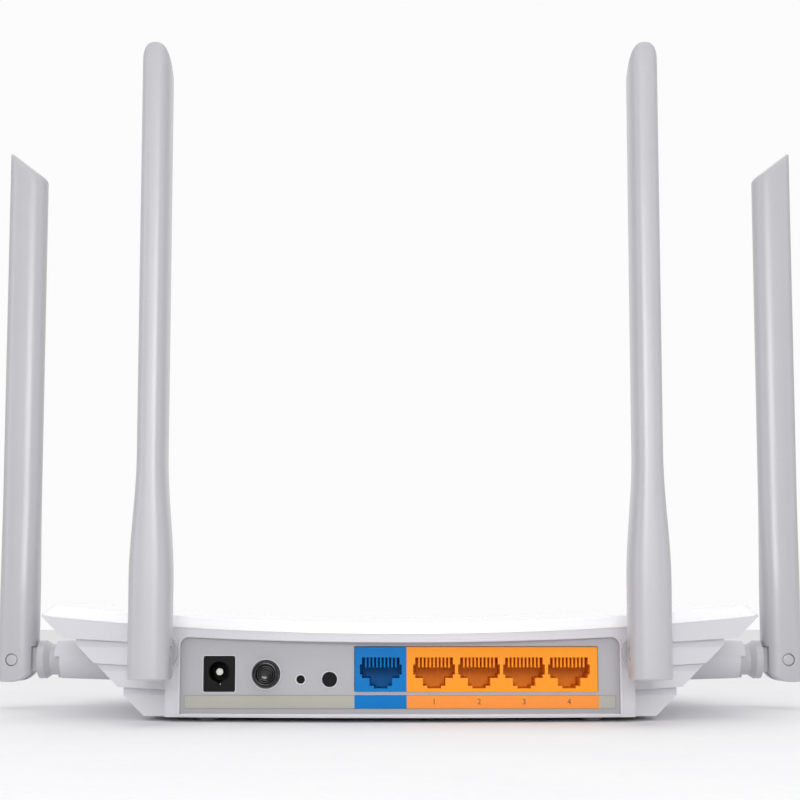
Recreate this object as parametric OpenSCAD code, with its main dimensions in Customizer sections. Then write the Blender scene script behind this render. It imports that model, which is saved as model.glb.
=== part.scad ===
/* [Housing] */
// Width across the cover's two side edges
body_w = 230; // [200:1:270]
// Depth from the rear edge to the front edge
body_d = 144; // [130:1:170]
// How far the rear edge's corners lie forward of its middle
rear_bow = 10; // [6:0.5:13]
// How far the front edge's corners lie behind its middle
front_bow = 12; // [6:0.5:16]
// How far the side edges bulge at mid depth
side_bow = 2; // [1:0.5:4]
// Height of the seam between cover and case at the middle
seam_z = 27.1; // [27:0.1:29]
// Radius of the saddle that the seam follows from side to side
seam_rise_r = 1120; // [1000:10:2000]
// Height of the cover's highest point on the centre line
cover_z = 32.4; // [32:0.1:36]
// Radius of the cover's rise from the middle to both sides
cover_rise_r = 1150; // [1000:10:2000]
// Radius of the cover's crown from rear to front
cover_crown_r = 1500; // [1200:10:3000]
// Wall of the cover
cover_wall = 2; // [1.6:0.1:2.4]
// Width of the cover's solid rim
cover_rim = 4; // [3:0.5:6]
// Floor and panel wall of the case
wall = 2; // [1.8:0.1:2.4]
// Gap between any two separate parts that only fit together
fit = 0.2; // [0.1:0.05:0.3]

/* [Case steps] */
// Radius of the saddle that the step lines follow
step_rise_r = 1600; // [1200:10:3000]
// Height of the skirt's lower line at the middle
skirt_z = 22.4; // [22:0.1:23]
// Height of the second step line at the middle
step2_z = 15.1; // [14.5:0.1:16]
// Height of the third step line at the middle
step3_z = 8.1; // [7.5:0.1:8.5]
// Set-back of each step on the rear and front faces
step_back = 1.1; // [0.6:0.1:1.4]
// Set-back of the sloped band at the top of each step
step_bevel = 0.8; // [0.4:0.1:1.2]

/* [Rear panel] */
// Width of the plain frame around the panel
frame_w = 146; // [142:1:150]
// Width of the recessed panel
panel_w = 137.4; // [134:0.2:140]
// Depth of the panel's face behind the rear edge's middle
panel_y = 5; // [4.5:0.1:6]
// Height of the panel's lower edge
panel_z = 2.2; // [2:0.1:3]
// Height of the panel's upper edge at the middle
panel_top_z = 25; // [24.6:0.1:25.4]
// Radius of the saddle that the panel's upper edge follows
panel_rise_r = 1360; // [1200:10:3000]
// Corner radius of the recess
panel_corner_r = 3.2; // [2:0.1:4]
// Width of the colour-coded port label
label_w = 134.1; // [130:0.1:136]
// Height of the port label's lower edge
label_z = 4.05; // [3.8:0.05:4.3]
// Height of the port label itself
label_h = 4.15; // [3.8:0.05:4.6]
// Thickness of the printed labels
label_t = 0.25; // [0.1:0.05:0.4]

/* [Sockets] */
// Distance between neighbouring network ports
port_pitch = 13.97; // [13.97:0.01:14.2]
// Offset of the first local port from the centre line
lan_x = 10.6; // [10.4:0.1:11]
// Offset of the internet port from the centre line
wan_x = -5.98; // [-6.4:0.02:-5.9]
// Width of the local socket block
lan_w = 59.35; // [58:0.05:60]
// Width of the internet socket block
wan_w = 16.05; // [15:0.05:16.1]
// Height of the socket blocks
port_h = 13.8; // [13.6:0.1:14.2]
// Depth of the socket blocks
port_d = 17; // [15:0.5:19]
// How far the socket faces stand proud of the panel
port_proud = 0.5; // [0.2:0.1:0.8]
// Width of a port's opening for the plug
port_open_w = 11.7; // [11.7:0.05:12]
// Depth of a port's opening
port_open_d = 13; // [12:0.5:14]
// Offset of the power inlet from the centre line
dc_x = -56.2; // [-57:0.1:-55.5]
// Width of the power inlet
dc_w = 9.4; // [9:0.1:10]
// Height of the power inlet
dc_h = 10.8; // [10.6:0.1:11.2]
// Depth of the power inlet
dc_d = 14; // [12:0.5:16]
// Height of the inlet's axis above the board
dc_rise = 6.1; // [5.8:0.1:6.3]
// Radius of the inlet's round opening
dc_r = 3.2; // [3.1:0.05:3.4]
// Radius of the inlet's centre pin
dc_pin_r = 1.05; // [1:0.05:1.25]

/* [Buttons] */
// Offset of the power button from the centre line
power_x = -41.7; // [-42.5:0.1:-41]
// Height of the power button's axis above the board
power_rise = 5.4; // [5.2:0.1:5.8]
// Radius of the power button's cap
power_r = 4.2; // [3.8:0.1:4.3]
// Travel of the power button
power_travel = 2; // [1.5:0.1:2.2]
// Offset of the reset button from the centre line
reset_x = -30.9; // [-31.5:0.1:-30.5]
// Radius of the reset button
reset_r = 1.1; // [1:0.05:1.2]
// Offset of the wireless button from the centre line
wps_x = -21.9; // [-22.2:0.1:-21.5]
// Radius of the wireless button
wps_r = 2.1; // [1.9:0.1:2.3]
// Height of both small buttons' axes above the board
small_rise = 3.75; // [3.6:0.05:3.9]
// Travel of the two small buttons
small_travel = 0.5; // [0.3:0.1:0.6]

/* [Antennas] */
// Length of an antenna from its lower end to its tip
blade_l = 194; // [150:1:240]
// Depth of an antenna along its barrel's axis
blade_depth = 13.6; // [13.2:0.1:14]
// Width of an antenna's upper part
blade_w = 9; // [8:0.1:10]
// Width of an antenna's lower part
blade_foot_w = 12.9; // [12.5:0.1:13.1]
// Height above the lower end at which the foot starts to narrow
flare_lo = 30; // [28:1:40]
// Height above the lower end at which the blade is narrow
flare_hi = 67; // [60:1:80]
// Fall of the tip from its outer to its inner edge
tip_fall = 10.4; // [6:0.1:13]
// Radius of the tip's rounding seen from outside
tip_round_r = 6.5; // [6:0.1:8]
// Height of the hinge pin above the antenna's lower end
pin_up = 7.8; // [7.6:0.1:8]
// Distance of the hinge pin from the antenna's inner face
pin_in = 7.9; // [7.6:0.1:8.1]
// Radius of the hinge pin
pin_r = 2.2; // [2:0.05:2.3]
// Radial clearance of the hinge pin and of the swivel
play = 0.05; // [0.03:0.01:0.08]
// Thickness of the knuckle's tongue
tongue_t = 5; // [4:0.1:5.6]
// Height of the knuckle's tongue
tongue_h = 8.6; // [8:0.1:8.8]
// Radius of the knuckle's flange
flange_r = 6.8; // [6.4:0.1:7]
// Radius of the knuckle's shank
shank_r = 5.5; // [5.3:0.05:5.6]
// Outer radius of a barrel's mouth
barrel_r = 6.65; // [6.6:0.05:6.9]
// Distance of the side hinge pins from the centre line, beyond the cover's half width
side_pin_out = 22.8; // [21:0.1:26]
// Height of the side hinge pins
side_pin_z = 17.4; // [17:0.1:18]
// Distance of the rear hinge pins from the centre line
rear_pin_x = 74.6; // [72.5:0.1:78]
// Distance of the rear hinge pins behind the rear edge
rear_pin_out = 14; // [14:0.5:22]
// Height of the rear hinge pins
rear_pin_z = 21.6; // [21:0.1:22]

/* [Board] */
// Width of the circuit board
board_w = 134; // [130:1:138]
// Height of the board's upper face
board_z = 9.3; // [9.2:0.1:9.6]
// Thickness of the board
board_t = 1.6; // [1.2:0.1:1.6]
// Distance of the board's front edge from the housing's front edge
board_front = 32; // [28:1:40]

/* [Underside] */
// Height of the rubber feet below the case
foot_h = 1.5; // [1.2:0.1:2]
// Radius of a rubber foot
foot_r = 3.5; // [3:0.1:4]
// Distance of the feet from the centre line
foot_x = 60.5; // [56:0.5:62]
// Distance between the two wall-hanging keyholes
keyhole_gap = 88; // [70:1:96]
// Radius of a keyhole's round end
keyhole_r = 3.8; // [3.6:0.1:4.2]
// Width of a keyhole's slot
keyhole_slot = 4.2; // [4.1:0.1:4.4]
// Number of cooling slots in each row of the floor
vent_count = 13; // [5:1:15]

/* [Hidden] */
$fn = 48;
// Facets of the housing's long arcs
arc_fn = 720;
// A cutter's overrun past the face it cuts
eps = 1;
// A length that reaches past the whole housing
far = 400;

// Colours
white_c = [0.97, 0.97, 0.98];
grey_c = [0.82, 0.81, 0.83];
blue_c = [0, 0.45, 0.71];
orange_c = [1, 0.61, 0.2];
black_c = [0.06, 0.06, 0.07];
gold_c = [0.83, 0.68, 0.3];
steel_c = [0.75, 0.76, 0.78];
green_c = [0.05, 0.32, 0.2];

// Radius of an arc from its chord and its rise
function bow_r(chord, rise) = (chord * chord / 4 + rise * rise) / (2 * rise);
// Height gained at distance x from the middle of a saddle of radius r
function saddle_rise(r, x) = r - sqrt(r * r - x * x);

rear_r = bow_r(body_w, rear_bow);
front_r = bow_r(body_w, front_bow);
side_r = bow_r(body_d, side_bow);
// Height of the cover's two side tips
tip_z = seam_z + saddle_rise(seam_rise_r, body_w / 2);
floor_z = foot_h + wall;
mid_y = body_d / 2;
side_pin_x = body_w / 2 + side_pin_out;
blade_out = blade_depth - pin_in;
// The part's origin is below the middle of the whole object's box
y_shift = -(body_d - rear_pin_out - blade_out) / 2;
board_y = panel_y + wall + fit;
board_front_y = body_d - board_front;
board_under = board_z - board_t;
port_face_y = panel_y - port_proud;
dc_z = board_z + dc_rise;
power_z = board_z + power_rise;
small_z = board_z + small_rise;

// Half widths and rear limits of the case's two inner spaces
lower_room_x = 71;
upper_room_x = 90;
upper_room_y = 14;
upper_room_z = 13;
room_front = 22;

// Antenna hinge places: name, place of the pin, turn of the barrel, distance from pin to inner wall
side_reach = side_pin_x - upper_room_x;
rear_reach = rear_pin_out + upper_room_y;
SITES = [
    [[-side_pin_x, mid_y, side_pin_z], 180, side_reach],
    [[-rear_pin_x, -rear_pin_out, rear_pin_z], -90, rear_reach],
    [[rear_pin_x, -rear_pin_out, rear_pin_z], -90, rear_reach],
    [[side_pin_x, mid_y, side_pin_z], 0, side_reach]
];

// Knuckle stations, measured from the pin towards the housing
flange_at = pin_in + 1;
flange_t = 2.3;
cone_t = 1.9;
mouth_at = 15.2;
mouth_step = 1.8;
bearing_end = 24;
tail_r = 3.9;
snap_r = 4.35;
snap_t = 2;
lead_hole_r = 1.4;
lead_r = 0.65;
stop_lift = 1.2;

// Case screws and board screws
column_r = 4.6;
column_hole_r = 3.3;
column_seat = 11;
column_top = 16;
screw_r = 1.5;
screw_head_r = 3;
screw_head_h = 2;
boss_r = 3.4;
COLUMNS = [for (x = [-58, 58], y = [28, body_d - 36]) [x, y]];
pillar_r = 3;
board_screw_r = 1.25;
BOARD_SCREWS = [for (x = [-34, 34], y = [44, body_d - 44]) [x, y]];

module place() { translate([0, y_shift, 0]) children(); }
module at_site(i) {
    place() translate(SITES[i][0]) rotate([0, 0, SITES[i][1]]) children();
}

// Box from its low corner in x and y, centred in x
module centred_box(x, y, z, w, d, h) { translate([x - w / 2, y, z]) cube([w, d, h]); }

// ---------------------------------------------------------------- housing

// One bowed side: [inset, z] points turned about that side's centre
module turned_side(radius, points) {
    last = len(points) - 1;
    rotate_extrude($fn = arc_fn)
        polygon(concat([[0, points[0][1]]], [for (p = points) [radius - p[0], p[1]]], [[0, points[last][1]]]));
}

// Block within all four bowed sides
module bowed_block(rear, front, side) {
    intersection() {
        translate([0, rear_r, 0]) turned_side(rear_r, rear);
        translate([0, body_d - front_r, 0]) turned_side(front_r, front);
        translate([side_r - body_w / 2, mid_y, 0]) turned_side(side_r, side);
        translate([body_w / 2 - side_r, mid_y, 0]) turned_side(side_r, side);
    }
}

// Everything above a saddle line whose lowest height is z
module above_saddle(z, radius) {
    translate([0, -far / 2, z + radius]) rotate([-90, 0, 0]) cylinder(h = far + body_d, r = radius, $fn = arc_fn);
}

// Everything below the cover's crowned saddle, lowered by drop
module below_cover(drop) {
    translate([0, mid_y, cover_z - drop + cover_rise_r]) rotate([-90, 0, 0]) rotate_extrude($fn = arc_fn)
        intersection() {
            translate([cover_rise_r + cover_crown_r, 0]) circle(r = cover_crown_r, $fn = arc_fn);
            translate([cover_rise_r - eps, -body_d]) square([60, 2 * body_d]);
        }
}

module top_cover() {
    rim_lo = seam_z - eps;
    rim_hi = cover_z + 20;
    color(white_c) place() difference() {
        union() {
            difference() {
                cover_solid(0, 0, rim_lo, rim_hi);
                cover_solid(cover_rim, cover_wall, rim_lo, rim_hi);
            }
            for (c = COLUMNS) intersection() {
                translate([c[0], c[1], column_top]) cylinder(h = cover_z, r = boss_r);
                below_cover(cover_wall / 2);
            }
        }
        for (c = COLUMNS) translate([c[0], c[1], column_top - eps]) cylinder(h = screw_bite + eps, r = screw_r);
        for (i = [0:led_count - 1]) translate([led_x(i), led_y, 0]) cylinder(h = far, r = led_r + fit / 2, $fn = 24);
    }
}

// Cover block between the seam and the crowned top
module cover_solid(inset, drop, z_lo, z_hi) {
    intersection() {
        bowed_block([[inset, z_lo], [inset, z_hi]], [[inset, z_lo], [inset, z_hi]],
            [[inset, z_lo], [inset, tip_z], [inset + z_hi - tip_z, z_hi]]);
        above_saddle(seam_z, seam_rise_r);
        below_cover(drop);
    }
}

// Status lights along the front
led_count = 7;
led_pitch = 9;
led_r = 0.9;
led_y = board_front_y - 6;
screw_bite = 8;
function led_x(i) = (i - (led_count - 1) / 2) * led_pitch;

// Steps of the case: lowest height of the line below, then rear, front and side profiles
function face_steps(back, lo, hi) = [[back, lo], [back, hi - 2.2], [back + step_bevel, hi], [back + step_bevel, hi + 3]];
line1_end = skirt_z + saddle_rise(step_rise_r, body_w / 2 - 20);
line2_end = step2_z + saddle_rise(step_rise_r, body_w / 2 - 25);
line3_end = step3_z + saddle_rise(step_rise_r, body_w / 2 - 33);
STEPS = [
    [skirt_z, [[step_back, skirt_z - 2], [0, tip_z], [0, tip_z + 5]],
        [[2 * step_back, skirt_z - 2], [0, tip_z], [0, tip_z + 5]],
        [[tip_z - skirt_z + 2, skirt_z - 2], [-5, tip_z + 5]]],
    [step2_z, face_steps(2 * step_back, step2_z - 2, line1_end), face_steps(5 * step_back, step2_z - 2, line1_end),
        [[11.2 + 24 - step2_z + 2, step2_z - 2], [11.2, 24], [11.2, line1_end + 3]]],
    [step3_z, face_steps(3 * step_back, step3_z - 2, line2_end), face_steps(9 * step_back, step3_z - 2, line2_end),
        [[18 + 17.4 - step3_z + 2, step3_z - 2], [18, 17.4], [18, line2_end + 3]]],
    [foot_h - 10, face_steps(4 * step_back, foot_h, line3_end), face_steps(13 * step_back, foot_h, line3_end),
        [[33.1, foot_h], [26.5, 8], [26.5, line3_end + 3]]]
];

module case_outside() {
    difference() {
        union() {
            for (s = STEPS) intersection() {
                bowed_block(s[1], s[2], s[3]);
                above_saddle(s[0], step_rise_r);
            }
            intersection() {
                bowed_block([[0.4, foot_h], [0.4, tip_z]], [[0, foot_h], [0, tip_z]], [[0, foot_h], [0, tip_z]]);
                centred_box(0, -eps, foot_h, frame_w, 24, tip_z);
            }
        }
        above_saddle(seam_z, seam_rise_r);
    }
}

// Barrel that carries a knuckle, drawn in an antenna's own frame
module barrel(reach) {
    difference() {
        translate([-reach + 1, 0, 0]) rotate([0, 90, 0])
            cylinder(h = reach - 1 - mouth_at, r1 = barrel_r + (reach - mouth_at) * 0.03, r2 = barrel_r);
        translate([-mouth_at - mouth_step, -barrel_r - eps, -barrel_r - eps])
            cube([mouth_step + eps, 2 * barrel_r + 2 * eps, barrel_r + eps + stop_lift]);
    }
}

module barrel_bore(reach) {
    translate([-bearing_end - fit, 0, 0]) rotate([0, 90, 0]) cylinder(h = bearing_end, r = shank_r + play);
    translate([-reach - eps, 0, 0]) rotate([0, 90, 0]) cylinder(h = reach, r = tail_r + play);
}

// Panel recess with a saddle-shaped top and round upper corners
module panel_recess() {
    r = panel_corner_r;
    corner_lift = 0.4;
    corner_z = panel_top_z + saddle_rise(panel_rise_r, panel_w / 2 - r) - r + corner_lift;
    difference() {
        translate([0, panel_y, 0]) rotate([90, 0, 0]) linear_extrude(panel_y + eps) union() {
            translate([-panel_w / 2, panel_z]) square([panel_w, corner_z - panel_z]);
            translate([-panel_w / 2 + r, panel_z]) square([panel_w - 2 * r, far / 10]);
            for (s = [-1, 1]) translate([s * (panel_w / 2 - r), corner_z]) circle(r = r);
        }
        above_saddle(panel_top_z, panel_rise_r);
    }
}

// Keyhole: a round end for the screw's head and a slot towards the front
module keyhole(x) {
    slot_l = 7;
    translate([x, keyhole_y, -eps]) {
        cylinder(h = floor_z + 2 * eps, r = keyhole_r);
        centred_box(0, 0, 0, keyhole_slot, slot_l, floor_z + 2 * eps);
        translate([0, slot_l, 0]) cylinder(h = floor_z + 2 * eps, r = keyhole_slot / 2);
    }
}
keyhole_y = mid_y - 14;
vent_w = 2;
vent_l = 24;
vent_pitch = 6;

module bottom_case() {
    color(grey_c) place() difference() {
        union() {
            difference() {
                union() {
                    case_outside();
                    for (s = SITES) translate(s[0]) rotate([0, 0, s[1]]) barrel(s[2]);
                }
                centred_box(0, panel_y + wall, floor_z, 2 * lower_room_x, body_d - room_front - panel_y - wall, far);
                centred_box(0, upper_room_y, upper_room_z, 2 * upper_room_x, body_d - room_front - upper_room_y, far);
            }
            for (c = COLUMNS) translate([c[0], c[1], foot_h]) cylinder(h = column_top - foot_h, r = column_r);
            for (c = BOARD_SCREWS) translate([c[0], c[1], foot_h]) cylinder(h = board_under - foot_h, r = pillar_r);
        }
        panel_recess();
        for (s = SITES) translate(s[0]) rotate([0, 0, s[1]]) barrel_bore(s[2]);
        for (c = COLUMNS) translate([c[0], c[1], -eps]) {
            cylinder(h = column_seat + eps, r = column_hole_r);
            cylinder(h = column_top + 2 * eps, r = screw_r + fit);
        }
        for (c = BOARD_SCREWS) translate([c[0], c[1], floor_z]) cylinder(h = board_z, r = board_screw_r);
        panel_holes();
        for (s = [-1, 1]) keyhole(s * keyhole_gap / 2);
        for (i = [0:vent_count - 1], y = [mid_y + 4, mid_y + 32])
            centred_box((i - (vent_count - 1) / 2) * vent_pitch, y, -eps, vent_w, vent_l, floor_z + 2 * eps);
        for (f = FEET) translate([f[0], f[1], 0]) cylinder(h = foot_h + foot_seat, r = foot_r);
        centred_box(0, label_y, -eps, rating_w, rating_d, foot_h + label_t + eps);
    }
}
foot_seat = 0.5;
FEET = [for (x = [-foot_x, foot_x], y = [12, body_d - 34]) [x, y]];
label_y = 16;
rating_w = 76;
rating_d = 34;

// Openings in the rear panel for sockets and buttons
module panel_holes() {
    y = panel_y - eps;
    d = wall + 2 * eps;
    wan_l = wan_x - wan_w / 2 - fit;
    lan_r = lan_left + lan_w + fit;
    translate([wan_l, y, board_z]) cube([lan_r - wan_l, d, port_h + fit]);
    centred_box(dc_x, y, board_z, dc_w + 2 * fit, d, dc_h + fit);
    round_hole(power_x, power_z, power_r + fit);
    round_hole(reset_x, small_z, reset_r + fit);
    round_hole(wps_x, small_z, wps_r + fit);
}
lan_left = wan_x + wan_w / 2;

// Round hole through the panel
module round_hole(x, z, r) {
    translate([x, panel_y - eps, z]) rotate([-90, 0, 0]) cylinder(h = wall + 2 * eps, r = r);
}

module port_label() {
    color(grey_c) place() centred_box(0, panel_y - label_t, label_z, label_w, label_t, label_h);
}

module rating_label() {
    color(white_c) place() centred_box(0, label_y, foot_h, rating_w, rating_d, label_t);
}

module rubber_feet() {
    color(black_c) place() for (f = FEET) translate([f[0], f[1], 0]) {
        cylinder(h = foot_h, r1 = foot_r * 0.8, r2 = foot_r);
        translate([0, 0, foot_h]) cylinder(h = foot_seat, r = foot_r);
    }
}

// Pan-head screw, head down, with a cross recess
module screw(head_r, head_h, r, l) {
    difference() {
        cylinder(h = head_h, r = head_r);
        for (a = [0, 90]) rotate([0, 0, a]) translate([-head_r * 0.6, -0.35, -eps]) cube([head_r * 1.2, 0.7, eps + 1]);
    }
    translate([0, 0, head_h]) cylinder(h = l, r = r);
}

module case_screws() {
    l = column_top - column_seat + screw_bite - fit;
    color(steel_c) place() for (c = COLUMNS) translate([c[0], c[1], column_seat - screw_head_h])
        screw(screw_head_r, screw_head_h, screw_r, l);
}

// ---------------------------------------------------------------- board and what stands on it

module circuit_board() {
    color(green_c) place() difference() {
        centred_box(0, board_y, board_under, board_w, board_front_y - board_y, board_t);
        for (c = COLUMNS) translate([c[0], c[1], 0]) cylinder(h = far, r = column_r + fit);
        for (c = BOARD_SCREWS) translate([c[0], c[1], 0]) cylinder(h = far, r = board_screw_r);
    }
}

module board_screws() {
    color(steel_c) place() for (c = BOARD_SCREWS) translate([c[0], c[1], board_z + 1.6]) rotate([180, 0, 0])
        screw(2.3, 1.6, board_screw_r, board_z - floor_z - fit);
}

// Distance from a socket block's top to the roof of its openings
port_roof = 3.24;
// Opening of one network port, with side grooves and a latch notch below
module port_opening() {
    w = port_open_w / 2;
    translate([0, port_open_d, 0]) rotate([90, 0, 0]) linear_extrude(port_open_d + eps) union() {
        translate([-w, port_h - port_roof - 6.36]) square([2 * w, 6.36]);
        for (s = [-1, 1]) translate([s * (w - 0.1) - 0.75, port_h - 8.5]) square([1.5, 3.1]);
        translate([-3.5, port_h - 12]) square([7, 3]);
        translate([-2.1, port_h - 12.8]) square([4.2, 1.5]);
    }
}

module socket_block(left, w, ports) {
    difference() {
        translate([left, port_face_y, board_z]) cube([w, port_d, port_h]);
        for (x = ports) translate([x, port_face_y, board_z]) port_opening();
    }
}

// Eight spring contacts of one port
module port_contacts() {
    pitch = 1.02;
    tilt = 28;
    t = 0.35;
    front_l = 3.6;
    z = port_h - port_roof - front_l * sin(tilt) - t * cos(tilt);
    for (i = [0:7]) translate([(i - 3.5) * pitch, port_open_d - 4.2, z])
        rotate([-tilt, 0, 0]) translate([-0.22, -front_l, 0]) cube([0.44, 7, t]);
}
LAN_PORTS = [for (i = [0:3]) lan_x + i * port_pitch];

module wan_socket() { color(blue_c) place() socket_block(wan_x - wan_w / 2, wan_w, [wan_x]); }
module lan_sockets() { color(orange_c) place() socket_block(lan_left, lan_w, LAN_PORTS); }
module wan_contacts() { color(gold_c) place() translate([wan_x, port_face_y, board_z]) port_contacts(); }
module lan_contacts() {
    color(gold_c) place() for (x = LAN_PORTS) translate([x, port_face_y, board_z]) port_contacts();
}

// Depth of the inlet's round opening
dc_hole_d = 10;
module dc_socket() {
    color(black_c) place() difference() {
        centred_box(dc_x, panel_y - fit, board_z, dc_w, dc_d, dc_h);
        translate([dc_x, panel_y - fit - eps, dc_z]) rotate([-90, 0, 0]) cylinder(h = dc_hole_d + eps, r = dc_r);
        centred_box(dc_x, panel_y - fit - eps, dc_z - dc_r - 0.9, 1, dc_hole_d + eps, 1.5);
    }
}

module dc_pin() {
    y = panel_y - fit + 1.2;
    l = dc_hole_d - 1.2;
    color(steel_c) place() translate([dc_x, y, dc_z]) rotate([-90, 0, 0]) cylinder(h = l, r = dc_pin_r);
}

module dc_spring() {
    color(steel_c) place() centred_box(dc_x, panel_y + 3, dc_z - dc_r - 0.9, 0.8, 6, 0.4);
}

// Rear face of the three switches
power_switch_y = panel_y + wall + 6;
small_switch_y = panel_y + wall + 3;

module power_switch() {
    color(black_c) place() centred_box(power_x, power_switch_y, board_z, 8.5, 12, 9);
}

// Small upright push switch
module tact_switch(x) { centred_box(x, small_switch_y, board_z, 6, 4, 6.4); }
module wps_switch() { color(black_c) place() tact_switch(wps_x); }
module reset_switch() { color(black_c) place() tact_switch(reset_x); }

// Push button: a cap in the panel, a collar behind it and a stem to its switch
module push_button(x, z, r, proud, switch_y, travel) {
    collar_t = 0.8;
    translate([x, panel_y - proud, z]) rotate([-90, 0, 0]) {
        cylinder(h = proud + wall + fit, r = r);
        translate([0, 0, proud + wall + fit]) cylinder(h = collar_t, r = r + 0.6);
        translate([0, 0, proud + wall]) cylinder(h = switch_y - panel_y - wall - travel - 0.1, r = r * 0.5);
    }
}

module power_button() {
    color(black_c) place() push_button(power_x, power_z, power_r, 2.2, power_switch_y, power_travel);
}
module wps_button() {
    color(black_c) place() push_button(wps_x, small_z, wps_r, 0.6, small_switch_y, small_travel);
}
module reset_button() {
    color(black_c) place() push_button(reset_x, small_z, reset_r, -0.8, small_switch_y, small_travel);
}

module main_chip() { color(black_c) place() centred_box(0, 62, board_z, 14, 14, 1.2); }
module heat_sink() {
    color(steel_c) place() {
        centred_box(0, 60, board_z + 1.2, 20, 18, 1.5);
        for (i = [0:6]) centred_box((i - 3) * 3, 60, board_z + 2.7, 1, 18, 5);
    }
}
module radio_chips() {
    color(black_c) place() for (x = [-40, 40]) centred_box(x, 72, board_z, 8, 8, 0.9);
}
module shield_cans() {
    color(steel_c) place() for (x = [-40, 40]) difference() {
        centred_box(x, 64, board_z, 26, 24, 3);
        centred_box(x, 64.3, board_z - eps, 25.4, 23.4, 2.7 + eps);
    }
}
module memory_chips() {
    color(black_c) place() {
        centred_box(0, 84, board_z, 8, 13, 1.1);
        centred_box(16, 66, board_z, 5.3, 6, 1.8);
    }
}
module network_transformers() {
    color(black_c) place() {
        centred_box(lan_x + 1.5 * port_pitch, port_face_y + port_d + 4, board_z, 28, 15, 6);
        centred_box(wan_x, port_face_y + port_d + 4, board_z, 12.5, 10, 5);
    }
}
module electrolytic_capacitors() {
    color(steel_c) place() for (p = [[-50, 36], [-50, 50], [-40, 34]]) translate([p[0], p[1], board_z])
        cylinder(h = 11, r = 4);
}
module power_inductors() {
    color(black_c) place() for (p = [[-26, 34], [-20, 50]]) centred_box(p[0], p[1], board_z, 7, 7, 4);
}
module crystals() {
    color(steel_c) place() for (p = [[-14, 62], [-18, 80], [60, 76]]) centred_box(p[0], p[1], board_z, 3.2, 5, 1.2);
}
module status_leds() {
    color([0.7, 0.95, 0.75]) place() for (i = [0:led_count - 1]) centred_box(led_x(i), led_y - 1, board_z, 1.6, 2, 0.8);
}

// Clear bar with one light pipe for each status light
module light_guide() {
    bar_z = board_z + 6;
    color([0.9, 0.95, 1, 0.5]) place() {
        centred_box(0, led_y - 2, bar_z, led_count * led_pitch, 4, 1.5);
        for (s = [-1, 1]) centred_box(s * (led_count * led_pitch / 2 - 1), led_y - 2, board_z, 2, 4, bar_z - board_z + 0.5);
        for (i = [0:led_count - 1]) intersection() {
            translate([led_x(i), led_y, board_z + 1]) cylinder(h = far / 8, r = led_r, $fn = 24);
            below_cover(0);
        }
    }
}

// Snap-on connectors of the four antenna leads, with the leads' routes from connector to barrel
connector_h = 1.4;
lead_top = board_z + 3;
CONNECTORS = [[-46, 92], [-57, 66], [57, 66], [46, 92]];
module lead_connectors() {
    color(gold_c) place() for (c = CONNECTORS) translate([c[0], c[1], board_z]) cylinder(h = connector_h, r = 1.5, $fn = 32);
}

// Route of one lead: up from its connector, across the housing and along the barrel's axis
function lead_ends(i) = let (
    s = SITES[i],
    c = CONNECTORS[i],
    out = [cos(s[1]), sin(s[1]), 0]
) [[c[0], c[1], lead_top], [c[0], c[1], lead_top + 9], s[0] - (s[2] + 16) * out, s[0] - (s[2] + 4) * out, out, s[0]];

// Point on a cubic curve through four control points
function curve(p, t) = pow(1 - t, 3) * p[0] + 3 * t * pow(1 - t, 2) * p[1] + 3 * t * t * (1 - t) * p[2] + pow(t, 3) * p[3];
function lead_route(i) = let (e = lead_ends(i)) concat(
    [[e[0][0], e[0][1], board_z + connector_h]],
    [for (k = [0:lead_rings]) curve(e, k / lead_rings)],
    [e[5] - 6 * e[4]]
);
lead_rings = 14;
lead_sides = 8;

// Ring of points square to direction d
function ring(c, d, r) = let (
    u = d / norm(d),
    a = cross(u, abs(u[2]) < 0.9 ? [0, 0, 1] : [0.6, 0.8, 0]),
    v = a / norm(a),
    w = cross(u, v)
) [for (k = [0:lead_sides - 1]) c + r * (cos(360 * k / lead_sides) * v + sin(360 * k / lead_sides) * w)];

// Tube swept along a route
module tube(route, r) {
    n = len(route);
    m = lead_sides;
    dirs = [for (k = [0:n - 1]) route[min(k + 1, n - 1)] - route[max(k - 1, 0)]];
    polyhedron(
        points = [for (k = [0:n - 1]) each ring(route[k], dirs[k], r)],
        faces = concat(
            [[for (j = [0:m - 1]) j]],
            [[for (j = [m - 1:-1:0]) (n - 1) * m + j]],
            [for (k = [0:n - 2], j = [0:m - 1]) [k * m + j, (k + 1) * m + j, (k + 1) * m + (j + 1) % m, k * m + (j + 1) % m]]
        ),
        convexity = 6
    );
}

module antenna_leads() { color(black_c) place() for (i = [0:3]) tube(lead_route(i), lead_r); }

// ---------------------------------------------------------------- antennas, drawn with the pin at the origin

blade_r = blade_depth / 2;
blade_cx = blade_out - blade_r;
blade_lo = -pin_up;
blade_hi = blade_lo + blade_l;
slot_t = tongue_t + 2 * fit;
slot_h = tongue_h / 2 + fit;

// Outline from outside: a wide foot, a flare, a narrow blade and a round tip
module blade_front() {
    f = blade_foot_w / 2;
    n = blade_w / 2;
    intersection() {
        polygon([[-f, blade_lo], [f, blade_lo], [f, blade_lo + flare_lo], [n, blade_lo + flare_hi], [n, blade_hi],
            [-n, blade_hi], [-n, blade_lo + flare_hi], [-f, blade_lo + flare_lo]]);
        union() {
            translate([0, blade_hi - tip_round_r]) circle(r = tip_round_r, $fn = 96);
            translate([-blade_r, blade_lo - eps]) square([blade_depth, blade_l - tip_round_r]);
        }
    }
}

// Outline from the side: a slanted tip and a lower inner corner rounded about the pin
module blade_side() {
    in = -pin_in;
    union() {
        polygon([[0, blade_lo], [blade_out, blade_lo], [blade_out, blade_hi], [in, blade_hi - tip_fall], [in, 0], [0, 0]]);
        intersection() {
            circle(r = min(pin_in, pin_up), $fn = 96);
            translate([in, blade_lo]) square([pin_in, pin_up]);
        }
    }
}

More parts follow.
